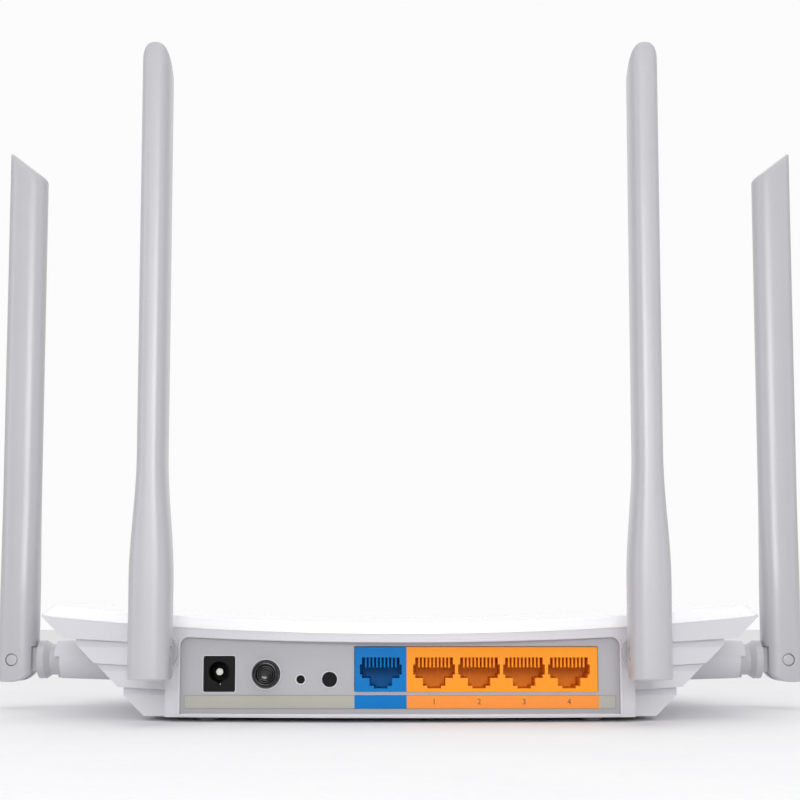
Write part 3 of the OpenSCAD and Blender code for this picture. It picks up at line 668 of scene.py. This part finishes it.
@dataclass
class Outline:
    """Plan outline of the housing: four bowed sides, in design millimetres."""
    width: float = 230.0
    depth: float = 144.0
    rear_bow: float = 10.0
    front_bow: float = 12.0
    side_bow: float = 2.0
    crispness: float = 80.0

    def reach(self, turn: np.ndarray, end: np.ndarray, side: np.ndarray) -> np.ndarray:
        """Give the distance from the middle to the outline, its sides set back.

        A ray from the middle meets a side's circle at t = d.k + sqrt((d.k)^2 - k.k + r^2), where k is
        the circle's centre. The four distances are joined as (sum t^-p)^(-1/p), which is their
        least value with the corners rounded.

        Args:
            turn: directions in radians.
            end: set-back of the rear and the front side.
            side: set-back of both flanks.

        Returns:
            The distances.
        """
        total = np.zeros(np.broadcast(turn, end).shape)
        for k, radius in self.circles():
            along = k[0] * np.cos(turn) + k[1] * np.sin(turn)
            back = end if k[0] == 0 else side
            distance = along + np.sqrt(along ** 2 - k @ k + (radius - back) ** 2)
            total = total + distance ** -self.crispness
        return total ** (-1 / self.crispness)

    def circles(self) -> list[tuple[np.ndarray, float]]:
        """Give the circle of each side, whose radius is (c^2 / 4 + h^2) / 2h for a chord c and a rise h.

        Returns:
            Each circle's centre, seen from the middle, and its radius.
        """
        chords = np.array([self.width, self.width, self.depth])
        rises = np.array([self.rear_bow, self.front_bow, self.side_bow])
        rear, front, side = ((chords ** 2 / 4 + rises ** 2) / (2 * rises)).tolist()
        return [(np.array([0.0, rear - self.depth / 2]), rear),
                (np.array([0.0, self.depth / 2 - front]), front),
                (np.array([side - self.width / 2, 0.0]), side),
                (np.array([self.width / 2 - side, 0.0]), side)]


@dataclass
class Cover:
    """The gloss cover: a bowed shell whose seam and top both follow saddles."""
    outline: Outline = field(default_factory=Outline)
    seam_z: float = 27.1
    seam_radius: float = 1120.0
    top_z: float = 32.4
    rise_radius: float = 1150.0
    crown_radius: float = 1500.0
    wall: float = 2.0
    end_slope: float = 1.3
    side_slope: float = 3.2
    edge: float = 0.8
    edge_from: float = 0.86
    foot_back: tuple[float, ...] = (0.0, 0.0, 0.5)
    foot_up: tuple[float, ...] = (0.0, 0.1, 0.45)
    sharp: float = 40.0
    steps: int = 1200
    edge_rows: int = 6
    top_rows: int = 26
    columns: Rows = ((-58.0, 28.0), (-58.0, 108.0), (58.0, 28.0), (58.0, 108.0))
    boss_radii: tuple[float, ...] = (1.5, 3.2, 3.4, 3.4, 1.5, 1.5)
    boss_foot: float = 16.0
    boss_chamfer: float = 0.2
    boss_steps: int = 40
    lens_pitch: float = 9.0
    lens_count: int = 7
    lens_y: float = 106.0
    lens_radius: float = 0.9
    lens_steps: int = 32
    # Each ring's share of the lens's radius, and its height over the cover
    lens_rings: Rows = ((0.0, -1.0), (1.0, -1.0), (1.0, 0.0), (0.8, 0.07), (0.5, 0.14), (0.25, 0.18),
                        (0.0, 0.2))

    def top(self, x: np.ndarray, y: np.ndarray) -> np.ndarray:
        """Give the top's height, which rises as x^2 / 2R to both sides and falls so to both ends.

        Args:
            x: places across.
            y: depths from the rear edge.

        Returns:
            The heights.
        """
        rise = x ** 2 / (2 * self.rise_radius)
        fall = (y - self.outline.depth / 2) ** 2 / (2 * self.crown_radius)
        return self.top_z + rise - fall

    def seam(self, x: np.ndarray) -> np.ndarray:
        """Give the seam's height, which rises as x^2 / 2R to both sides."""
        return self.seam_z + x ** 2 / (2 * self.seam_radius)

    def build(self) -> None:
        """Make the shell, its screw bosses and the status lenses."""
        turn = np.linspace(0, 2 * np.pi, self.steps, endpoint=False)[None, :]
        arc = np.linspace(0, np.pi / 2, self.edge_rows)
        back = np.concatenate([self.foot_back, 1 + self.edge * (1 - np.cos(arc))])[:, None]
        up = np.concatenate([self.foot_up, self.edge_from + (1 - self.edge_from) * np.sin(arc)])[:, None]
        reach = self.outline.reach(turn, back * self.end_slope, back * self.side_slope)
        x, y = reach * np.cos(turn), reach * np.sin(turn) + self.outline.depth / 2
        rim = np.stack([x, y, self.seam(x) + (self.top(x, y) - self.seam(x)) * up], axis=-1)
        share = np.linspace(1, 0, self.top_rows)[1:, None, None]
        mid = np.array([0.0, self.outline.depth / 2])
        flat = (rim[-1:, :, :2] - mid) * share + mid
        top = np.concatenate([flat, self.top(flat[..., 0], flat[..., 1])[..., None]], axis=-1)
        shell = ringed("cover_shell", [np.concatenate([rim, top])], self.sharp)
        thick = shell.modifiers.new("wall", "SOLIDIFY")
        thick.thickness = self.wall * MM
        thick.offset = -1
        thick.use_even_offset = True
        settle(shell, Finish.COVER, "housing", "gloss_white", "top_cover")
        self.build_bosses()
        self.build_lenses()

    def build_bosses(self) -> None:
        """Make the four bosses that the case screws bite into, as stepped tubes."""
        radius = np.array(self.boss_radii)[:, None]
        turn = np.linspace(0, 2 * np.pi, self.boss_steps, endpoint=False)
        foot, rings = self.boss_foot, []
        for x, y in self.columns:
            crown = float(self.top(np.array(x), np.array(y))) - self.wall
            height = np.array([foot, foot, foot + self.boss_chamfer, crown, crown, foot])[:, None]
            rings.append(np.stack([x + radius * np.cos(turn), y + radius * np.sin(turn),
                                   height + 0 * turn], axis=-1))
        settle(ringed("cover_bosses", rings), Finish.COVER, "housing", "gloss_white")

    def build_lenses(self) -> None:
        """Make the status lenses: low domes of rings, sunk into the cover's top."""
        turn = np.linspace(0, 2 * np.pi, self.lens_steps, endpoint=False)
        share, lift = np.array(self.lens_rings).T[..., None]
        rings = []
        for number in range(self.lens_count):
            middle = (number - (self.lens_count - 1) / 2) * self.lens_pitch
            x = middle + self.lens_radius * share * np.cos(turn)
            y = self.lens_y + self.lens_radius * share * np.sin(turn)
            rings.append(np.stack([x, y, self.top(x, y) + lift], axis=-1))
        settle(ringed("status_lenses", rings), Finish.LED, "housing", "clear_acrylic")


# ---------------------------------------------------------------- antennas

@dataclass
class Blade:
    """One antenna's blade in its own frame: pin at the origin, x outwards, z up, in millimetres."""
    round_radius: float = 6.8
    round_x: float = -1.1
    foot_half: float = 6.45
    top_half: float = 4.5
    flare: tuple[float, float] = (22.2, 59.2)
    inner_x: float = -7.9
    outer_x: float = 5.7
    lower: float = 7.8
    tip: float = 186.2
    tip_fall: float = 10.4
    dome_radius: float = 6.5
    fillet: float = 1.1
    foot_fullness: tuple[float, float] = (3.0, 2.8)
    top_fullness: tuple[float, float] = (3.1, 2.2)
    foot_fillet: float = 0.5
    shaft_top: float = 150.0
    slot_half: float = 2.7
    slot_reach: float = 4.5
    relief: float = 4.7
    relief_x: float = -6.5
    bore: float = 2.25
    pin_half: float = 6.2
    # Each ring's radius and its depth behind the pin's end
    pin_rings: Rows = ((0.0, 0.0), (0.9, 0.02), (1.5, 0.06), (1.8, 0.12), (2.0, 0.3), (2.2, 0.6))
    pin_sharp: float = 30.0
    sharp: float = 38.0
    steps: int = 96
    pin_steps: int = 48
    edge_rows: int = 6
    cap_rows: int = 9
    climb_rows: int = 8
    cap_middle: float = 0.12
    lowest_row: float = 0.06
    body_rows: tuple[int, int, int] = (12, 16, 12)

    def section(self, turn: np.ndarray, height: np.ndarray) -> np.ndarray:
        """Give the distance from the blade's axis to its skin.

        It is the superellipse ((|cos a| / R)^n + (|sin a| / w)^n)^(-1/n). Its half width w eases
        from the foot's to the top's as 3t^2 - 2t^3, and so does its fullness n, which also runs
        from its outer to its inner value as (1 - cos a) / 2.

        Args:
            turn: directions about the axis.
            height: heights above the pin.

        Returns:
            The distances.
        """
        t = np.clip((height - self.flare[0]) / (self.flare[1] - self.flare[0]), 0, 1)
        ease = t * t * (3 - 2 * t)
        half = self.foot_half + (self.top_half - self.foot_half) * ease
        (foot_out, foot_in), (top_out, top_in) = self.foot_fullness, self.top_fullness
        outer = foot_out + (top_out - foot_out) * ease
        inner = foot_in + (top_in - foot_in) * ease
        n = outer + (inner - outer) * (1 - np.cos(turn)) / 2
        across, along = np.abs(np.cos(turn)) / self.round_radius, np.abs(np.sin(turn)) / half
        return (across ** n + along ** n) ** (-1 / n)

    def tip_height(self, x: np.ndarray, y: np.ndarray) -> np.ndarray:
        """Give the tip's height: a plane that falls inwards, domed as R - sqrt(R^2 - y^2).

        Args:
            x: places across the blade.
            y: places along the pin.

        Returns:
            The heights.
        """
        slope = self.tip_fall / (self.outer_x - self.inner_x)
        dome = self.dome_radius - np.sqrt(np.maximum(self.dome_radius ** 2 - y ** 2, 0))
        return self.tip - slope * (self.outer_x - x) - dome

    def foot_height(self, x: np.ndarray, _: np.ndarray) -> np.ndarray:
        """Give the foot's height: flat outside the pin, and -sqrt(R^2 - x^2) inside it."""
        return -np.sqrt(np.maximum(self.lower ** 2 - np.minimum(x, 0) ** 2, 0))

    def rings(self, height: np.ndarray, inset: np.ndarray) -> tuple[np.ndarray, np.ndarray]:
        """Give the plan of rings.

        Args:
            height: the rings' heights above the pin.
            inset: how far each ring is pulled in.

        Returns:
            The places across the blade and along the pin.
        """
        turn = np.linspace(0, 2 * np.pi, self.steps, endpoint=False)[None, :]
        reach = np.maximum(self.section(turn, height) - inset, 0)
        return self.round_x + reach * np.cos(turn), reach * np.sin(turn)

    def cap(self, level: Callable[[np.ndarray, np.ndarray], np.ndarray], height: float, sign: float,
            radius: float) -> np.ndarray:
        """Give the rings of one end: a quarter-circle edge, then rings that shrink to the middle.

        Args:
            level: the end's height from the two places.
            height: the height whose section the end has.
            sign: one for the tip and minus one for the foot.
            radius: the rounded edge's radius.

        Returns:
            The points by ring, from the edge to the middle.
        """
        arc = np.linspace(0, np.pi / 2, self.edge_rows)[:, None]
        turn = np.linspace(0, 2 * np.pi, self.steps, endpoint=False)[None, :]
        inner = np.linspace(self.cap_middle, 1, self.cap_rows)[:, None]
        reach = self.section(turn, np.array([[height]]))
        start = 1 - radius / reach
        inset = np.concatenate([radius * (1 - np.cos(arc)) + 0 * reach,
                                reach * (1 - start * (1 - inner))])
        x, y = self.rings(np.array([[height]]), inset)
        drop = np.concatenate([radius * (1 - np.sin(arc)), 0 * inner])
        return np.stack([x, y, level(x, y) - sign * drop], axis=-1)

    def skin(self) -> np.ndarray:
        """Give the blade's skin, whose rows run from the foot's middle to the tip's.

        Returns:
            The points by row and column.
        """
        low = self.cap(self.foot_height, -self.lower, -1, self.foot_fillet)[::-1]
        high = self.cap(self.tip_height, self.tip, 1, self.fillet)
        (flare, even), (below, between, above) = self.flare, self.body_rows
        heights = np.concatenate([np.linspace(self.lowest_row, 1, below) * flare,
                                  np.linspace(flare, even, between)[1:],
                                  np.linspace(even, self.shaft_top, above)[1:]])[:, None]
        x, y = self.rings(heights, np.zeros((1, 1)))
        share = np.clip(heights / flare, 0, 1)
        body = np.stack([x, y, low[-1:, :, 2] * (1 - share) + heights * share], axis=-1)
        climb = np.linspace(0, 1, self.climb_rows + 1)[1:-1, None]
        x, y = self.rings(self.shaft_top + 0 * climb, np.zeros((1, 1)))
        top = np.stack([x, y, self.shaft_top * (1 - climb) + high[:1, :, 2] * climb], axis=-1)
        return np.concatenate([low, body, top, high])

    def build(self, site: str, pin: np.ndarray, turn: float) -> bpy.types.Object:
        """Make one blade and its hinge pin in their places.

        Args:
            site: the antenna's name.
            pin: the pin's place in the frame, in millimetres.
            turn: direction of the antenna's x axis, in degrees about the vertical.

        Returns:
            The blade.
        """
        place = Matrix.Translation(Vector(pin * MM)) @ Matrix.Rotation(math.radians(turn), 4, "Z")
        matrix = np.array(place)

        def moved(points: np.ndarray) -> np.ndarray:
            """Carry points from the antenna's frame into the model's."""
            return (points.reshape(-1, 3) * MM) @ matrix[:3, :3].T + matrix[:3, 3]

        self.build_pin(site, moved)
        rows = self.skin()
        blade = mesh_object(f"{site}_antenna_blade", moved(rows), grid_faces(*rows.shape[:2]), self.sharp)
        far = 2 * self.lower
        cutters = []
        for lo, hi in (((-far, -self.slot_half, -far), (self.slot_reach, self.slot_half, self.slot_reach)),
                       ((-far, -far, -self.relief), (self.relief_x, far, self.relief))):
            points, faces = box_points(lo, hi)
            cutters.append(mesh_object(f"{site}_cutter", moved(points), faces))
        bore = turned(np.array([[0.0, -far], [self.bore, -far], [self.bore, far], [0.0, far]]),
                      self.pin_steps)
        cutters.append(mesh_object(f"{site}_bore", moved(bore), grid_faces(*bore.shape[:2])))
        return cut(blade, cutters, self.sharp)

    def build_pin(self, site: str, moved: Callable[[np.ndarray], np.ndarray]) -> None:
        """Make one hinge pin: a turned profile with a chamfer and a low dome at each end.

        Args:
            site: the antenna's name.
            moved: carries points from the antenna's frame into the model's.
        """
        end = np.array(self.pin_rings)
        profile = np.concatenate([end - [0, self.pin_half], (end * [1, -1] + [0, self.pin_half])[::-1]])
        points = turned(profile, self.pin_steps)
        pin = mesh_object(f"{site}_hinge_pin", moved(points), grid_faces(*points.shape[:2]), self.pin_sharp)
        settle(pin, Finish.ANTENNA, f"{site}_swivel", "light_grey", f"{site}_pin")


@dataclass
class Antennas:
    """The four antennas, placed by their pins."""
    turns: tuple[float, ...] = (180.0, -90.0, -90.0, 0.0)
    blade: Blade = field(default_factory=Blade)

    def build(self) -> None:
        """Make the four blades and their hinge pins."""
        for site, turn in zip(SITES, self.turns):
            lo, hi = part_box(f"{site}_pin")
            pin = (np.array(lo) + np.array(hi)) / 2 / MM
            blade = self.blade.build(site, pin, turn)
            settle(blade, Finish.ANTENNA, f"{site}_antenna", "light_grey", f"{site}_blade")


# ---------------------------------------------------------------- rear panel

@dataclass
class Panel:
    """What stands in the rear panel: label, lips, sockets and buttons, in design millimetres."""
    taupe: str = "#b7b7ae"
    blue: str = "#007bc8"
    orange: str = "#ff9c46"
    blue_from: float = -14.6
    orange_from: float = 2.05
    orange_to: float = 61.7
    frame_back: float = 0.4
    rear_radius: float = 666.25
    recess_half: float = 68.7
    recess_low: float = 2.2
    recess_top: float = 25.0
    recess_rise: float = 1360.0
    recess_corner: float = 3.2
    blank: tuple[str, str] = ("#ececee", "#d9d9dc")
    blank_border: float = 0.8
    blank_edge: float = 1.0
    # Half the width of each lip and its height
    recess_lip: tuple[float, float] = (0.45, 0.16)
    button_lip: tuple[float, float] = (0.25, 0.14)
    inlet_lip: tuple[float, float] = (0.22, 0.12)
    lip_under: float = 0.4
    lip_sharp: float = 50.0
    lip_steps: int = 16
    hole_steps: int = 64
    edge_steps: int = 121
    side_steps: int = 12
    corner_steps: int = 9
    buttons: tuple[tuple[str, float], ...] = (("power_button", 4.2), ("reset_button", 1.1),
                                              ("wps_button", 2.1))
    button_gap: float = 0.45
    inlet_gap: float = 0.42
    inlet_squareness: float = 24.0
    port_pitch: float = 13.97
    port_half: float = 5.85
    port_roof: float = 3.24
    ports: int = 4
    ribs: int = 10
    rib_half: float = 0.3
    rib_drop: float = 3.1
    rib_root: float = 0.1
    rib_front: float = 0.8
    rib_back: float = 5.2
    nose_steps: int = 7
    number_size: float = 2.4
    number_thick: float = 0.02
    number_sharp: float = 30.0
    # The power button's radii and depths behind its front, and the rounding of each corner
    cap: Rows = ((0, 0.75, 0), (1.55, 0.6, 0.15), (1.75, 0.25, 0.15), (2.1, 0.25, 0.15),
                 (2.3, 0.95, 0.15), (2.75, 0.95, 0.15), (3.0, 0.0, 0.25), (3.7, 0.0, 0.35),
                 (4.2, 0.7, 0.4), (4.2, 4.2, 0), (4.8, 4.2, 0.1), (4.8, 5.0, 0.1), (2.1, 5.0, 0))
    stem: float = 2.1
    stem_rounding: float = 0.2
    cap_steps: int = 72

    def build(self) -> None:
        """Dress the label and make the lips, ribs, numbers and the power button."""
        self.build_label()
        self.build_lips()
        self.build_ribs()
        self.build_numbers()
        self.build_power_button()

    def build_label(self) -> None:
        """Dress the colour-coded label and the blank rating label."""
        lo, hi = (np.array(c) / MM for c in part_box("port_label"))
        zones = ((lo[0], self.taupe), (self.blue_from, self.blue), (self.orange_from, self.orange),
                 (self.orange_to, self.taupe))
        film = PrintedFilm("screen_printed_film", zones, (lo[0], lo[2]), (hi[0], hi[2]))
        dress(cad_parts["port_label"], film.build())
        lo, hi = (np.array(c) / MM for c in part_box("rating_label"))
        zones = tuple(zip((lo[0], hi[0] - self.blank_edge), self.blank))
        blank = PrintedFilm("satin_label_film", zones, (lo[0], lo[1]), (hi[0], hi[1]), axis="Y",
                            border=self.blank_border)
        dress(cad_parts["rating_label"], blank.build())

    def bead(self, name: str, path: np.ndarray, size: tuple[float, float]) -> None:
        """Make a low lip along a closed path on a rear-facing wall.

        The lip's section is an ellipse, w cos a across the path and h sin a out of the wall, cut
        off below the wall and carried along the path with the path's own normal.

        Args:
            name: the piece's name.
            path: rows of x, depth and z in design millimetres, counter-clockwise seen from behind.
            size: half the lip's width w, and its height h.
        """
        along = np.roll(path, -1, axis=0) - np.roll(path, 1, axis=0)
        across = np.stack([along[:, 2], 0 * along[:, 0], -along[:, 0]], axis=-1)
        across /= np.linalg.norm(across, axis=1, keepdims=True)
        turn = np.linspace(0, 2 * np.pi, self.lip_steps, endpoint=False)
        section = np.stack([np.cos(turn), np.maximum(np.sin(turn), -self.lip_under)], axis=-1) * size
        points = path[:, None, :] + across[:, None, :] * section[None, :, :1]
        points = points - np.array([0.0, 1.0, 0.0]) * section[None, :, 1:]
        lip = ringed(name, [np.concatenate([points, points[:1]])], self.lip_sharp)
        settle(lip, Finish.CASE, "housing", "light_grey")

    def recess_path(self) -> np.ndarray:
        """Give the recess's edge, whose top rises as x^2 / 2R and whose depth bows as x^2 / 2R.

        Returns:
            Rows of x, depth and z, counter-clockwise seen from behind.
        """
        half, corner = self.recess_half, self.recess_corner
        inner = half - corner
        corner_z = self.recess_top + inner ** 2 / (2 * self.recess_rise) - corner
        arc = np.linspace(0, np.pi / 2, self.corner_steps)[1:-1]
        top = np.linspace(inner, -inner, self.edge_steps)
        side = np.linspace(self.recess_low, corner_z, self.side_steps)
        base = np.linspace(-half, half, self.edge_steps)[1:-1]
        x = np.concatenate([half + 0 * side, inner + corner * np.cos(arc), top,
                            -inner - corner * np.sin(arc), -half + 0 * side, base])
        z = np.concatenate([side, corner_z + corner * np.sin(arc),
                            self.recess_top + top ** 2 / (2 * self.recess_rise),
                            corner_z + corner * np.cos(arc), side[::-1], self.recess_low + 0 * base])
        return np.stack([x, x ** 2 / (2 * self.rear_radius) + self.frame_back, z], axis=-1)

    def build_lips(self) -> None:
        """Make the lips of the recess, the inlet and the button holes.

        The inlet's lip follows the superellipse (|cos a / w|^n + |sin a / h|^n)^(-1/n).
        """
        self.bead("recess_lip", self.recess_path(), self.recess_lip)
        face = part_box("port_label")[1][1] / MM - rear_edge()
        turn = np.linspace(0, 2 * np.pi, self.hole_steps, endpoint=False)
        across, up = np.cos(turn), np.sin(turn)
        for button, radius in self.buttons:
            middle = np.array(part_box(button)).mean(axis=0) / MM
            reach = radius + self.button_gap
            ring = np.stack([middle[0] + reach * across, face + 0 * turn, middle[2] + reach * up], axis=-1)
            self.bead(f"{button}_lip", ring, self.button_lip)
        lo, hi = (np.array(c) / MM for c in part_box("dc_socket"))
        middle, size, n = (lo + hi) / 2, (hi - lo) / 2 + self.inlet_gap, self.inlet_squareness
        reach = (np.abs(across) ** n / size[0] ** n + np.abs(up) ** n / size[2] ** n) ** (-1 / n)
        ring = np.stack([middle[0] + reach * across, face + 0 * turn, middle[2] + reach * up], axis=-1)
        self.bead("inlet_lip", ring, self.inlet_lip)

    def port_centres(self) -> list[tuple[str, Finish, str, float]]:
        """Give the ports from left to right.

        Returns:
            Each port's name, finish, material slot and place across the panel.
        """
        wan, lan = (np.array(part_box(node))[:, 0].mean() / MM for node in ("wan_contacts", "lan_contacts"))
        first = lan - (self.ports - 1) / 2 * self.port_pitch
        return [("internet", Finish.INTERNET, "socket_blue", wan)] + [
            (f"local_{n + 1}", Finish.LOCAL, "socket_orange", first + n * self.port_pitch)
            for n in range(self.ports)]

    def build_ribs(self) -> None:
        """Make each port's comb of guide ribs: a round-nosed section carried down from the roof."""
        lo, hi = (np.array(c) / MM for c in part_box("lan_sockets"))
        face, roof = lo[1] - rear_edge(), hi[2] - self.port_roof
        nose = np.linspace(np.pi, 2 * np.pi, self.nose_steps)
        section = np.stack([np.cos(nose) * self.rib_half,
                            self.rib_front + np.sin(nose) * self.rib_half], axis=-1)
        section = np.concatenate([section, [[self.rib_half, self.rib_back],
                                            [-self.rib_half, self.rib_back]]])
        middle = section.mean(axis=0) + 0 * section
        plans = np.stack([middle, section, section, middle])
        high, low = roof + self.rib_root, roof - self.rib_drop
        level = np.array([high, high, low, low])[:, None] + 0 * plans[..., 0]
        pitch = 2 * self.port_half / self.ribs
        for name, finish, slot, x in self.port_centres():
            shifts = x + (np.arange(1, self.ribs) - self.ribs / 2) * pitch
            ribs = [np.stack([shift + plans[..., 0], face + plans[..., 1], level], axis=-1)
                    for shift in shifts]
            settle(ringed(f"{name}_comb", ribs), finish, "housing", slot)

    def build_numbers(self) -> None:
        """Make the plain numbers 1 to 4 under the local ports, as thin raised ink."""
        lo, hi = (np.array(c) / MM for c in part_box("port_label"))
        for name, _, _, x in self.port_centres()[1:]:
            words = bpy.data.curves.new(f"{name}_ink", "FONT")
            words.body = name[-1]
            words.size = self.number_size
            words.extrude = self.number_thick
            words.align_x, words.align_y = "CENTER", "CENTER"
            ghost = bpy.data.objects.new(f"{name}_ink", words)
            mesh = bpy.data.meshes.new_from_object(ghost)
            place = Matrix.Translation(Vector((x, lo[1], (lo[2] + hi[2]) / 2)) * MM)
            mesh.transform(place @ Matrix.Rotation(math.pi / 2, 4, "X") @ Matrix.Scale(MM, 4))
            bpy.data.objects.remove(ghost)
            number = shaded(bpy.data.objects.new(f"{name}_number", mesh), self.number_sharp)
            settle(number, Finish.INK, "housing", "printed_label")

    def build_power_button(self) -> None:
        """Make the power button: an outer ring, a groove and a dished cap, turned as one profile."""
        lo, hi = (np.array(c) / MM - [0, rear_edge(), 0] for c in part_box("power_button"))
        depth = hi[1] - lo[1]
        rows = np.array(self.cap + ((self.stem, depth, self.stem_rounding), (0, depth, 0)))
        points = turned(rounded_profile(rows[:, :2], rows[:, 2]), self.cap_steps)
        centre = np.array([(lo[0] + hi[0]) / 2, lo[1], (lo[2] + hi[2]) / 2])
        button = ringed("power_button_cap", [points + centre])
        settle(button, Finish.BUTTON, "power_button", "gloss_black", "power_button")


# ---------------------------------------------------------------- studio

@dataclass(frozen=True)
class SoftBox:
    """One rectangular soft light: its place and aim in metres, its size, and its power in watts."""
    name: str
    place: Corner
    aim: Corner
    size: tuple[float, float]
    power: float

    def build(self) -> None:
        """Make the light and turn it to its aim."""
        lamp = bpy.data.lights.new(self.name, "AREA")
        lamp.shape = "RECTANGLE"
        lamp.size, lamp.size_y = self.size
        lamp.energy = self.power
        light = bpy.data.objects.new(self.name, lamp)
        light.location = self.place
        way = Vector(self.aim) - Vector(self.place)
        light.rotation_euler = way.to_track_quat("-Z", "Y").to_euler()
        bpy.context.scene.collection.objects.link(light)


@dataclass
class Studio:
    """Pale floor, soft lights and the camera."""
    lens: float = 62.6
    distance: float = 435.0
    eye: float = 31.6
    horizon: float = 0.2745
    shift: float = 0.13
    behind: float = 0.45
    ahead: float = 0.97
    overhead: float = 0.3
    flag: float = 0.6
    # Where the surroundings change, as parts of a unit direction's depth, width and height
    depth_span: tuple[float, float] = (-0.3, 0.8)
    width_span: tuple[float, float] = (0.55, 0.9)
    height_span: tuple[float, float] = (0.5, 0.7)
    floor_radii: tuple[float, ...] = (4.0, 1.0, 0.0)
    floor_steps: int = 64
    boxes: tuple[SoftBox, ...] = (
        SoftBox("key_box", (0.0, -0.55, 1.0), (0.0, -0.06, 0.02), (0.9, 0.35), 1.6),
        SoftBox("front_box", (0.0, -1.25, 0.3), (0.0, 0.0, 0.05), (0.5, 0.3), 4.4),
        SoftBox("left_box", (-0.8, -0.5, 0.3), (0.0, 0.0, 0.08), (0.2, 0.8), 0.9),
        SoftBox("right_box", (0.8, -0.5, 0.3), (0.0, 0.0, 0.08), (0.2, 0.8), 0.6))

    def build(self) -> None:
        """Make the floor, the lights, the background and the camera."""
        self.build_floor()
        for box in self.boxes:
            box.build()
        self.build_surroundings()
        self.build_camera()

    def build_floor(self) -> None:
        """Make the floor: a wide disc on the ground plane."""
        turn = np.linspace(0, 2 * np.pi, self.floor_steps, endpoint=False)[None, :]
        radius = np.array(self.floor_radii)[:, None]
        points = np.stack([radius * np.cos(turn), radius * np.sin(turn), 0 * radius * turn], axis=-1)
        floor = mesh_object("floor", points, grid_faces(*points.shape[:2]))
        if floor.data.polygons[0].normal.z < 0:
            floor.data.flip_normals()
        paper = Moulded("matt_paper_backdrop", "#f7f7f8", "#f3f3f5", 0.8, grain=4.0, relief=0.01)
        dress(floor, paper.build())

    def build_surroundings(self) -> None:
        """Make the pale surroundings, brighter ahead and overhead than behind and aside."""
        world = bpy.data.worlds.new("studio")
        bpy.context.scene.world = world
        world.use_nodes = True
        tree = world.node_tree
        way = add_node(tree, "ShaderNodeTexCoord")
        parts = add_node(tree, "ShaderNodeSeparateXYZ", links={"Vector": way.outputs["Generated"]})
        aside = add_node(tree, "ShaderNodeMath", {"operation": "ABSOLUTE"}, {0: parts.outputs["X"]})
        depth, width, height = (
            add_node(tree, "ShaderNodeMapRange",
                     {"From Min": span[0], "From Max": span[1], "To Min": low, "To Max": high},
                     {"Value": value}).outputs[0]
            for span, low, high, value in (
                (self.depth_span, self.behind, self.ahead, parts.outputs["Y"]),
                (self.width_span, 1.0, self.flag, aside.outputs[0]),
                (self.height_span, 0.0, self.overhead, parts.outputs["Z"])))
        sides = add_node(tree, "ShaderNodeMath", {"operation": "MULTIPLY"}, {0: depth, 1: width})
        total = add_node(tree, "ShaderNodeMath", {"operation": "ADD"}, {0: sides.outputs[0], 1: height})
        tree.links.new(total.outputs[0], tree.nodes["Background"].inputs["Strength"])
        tree.nodes["Background"].inputs["Color"].default_value = (1, 1, 1, 1)
        bpy.context.scene.view_settings.view_transform = "Standard"

    def build_camera(self) -> None:
        """Place the camera behind the router, low over the table, part shifted and part pitched."""
        data = bpy.data.cameras.new("camera")
        data.lens = self.lens
        data.shift_y = self.shift
        camera = bpy.data.objects.new("camera", data)
        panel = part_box("lan_sockets")[0][1]
        camera.location = (0.0, panel - self.distance * MM, self.eye * MM)
        pitch = math.atan((self.horizon - self.shift) * data.sensor_width / self.lens)
        camera.rotation_euler = (math.pi / 2 + pitch, 0, 0)
        bpy.context.scene.collection.objects.link(camera)
        bpy.context.scene.camera = camera


def main() -> None:
    """Build every sub-assembly in order."""
    logging.basicConfig(level=logging.INFO, format="%(name)s: %(message)s")
    Studio().build()
    for finish, nodes in FINISHES.items():
        for node in nodes:
            dress(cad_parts[node], material_of(finish))
    for part in (Cover(), Antennas(), Panel()):
        part.build()


if __name__ == "__main__":
    main()
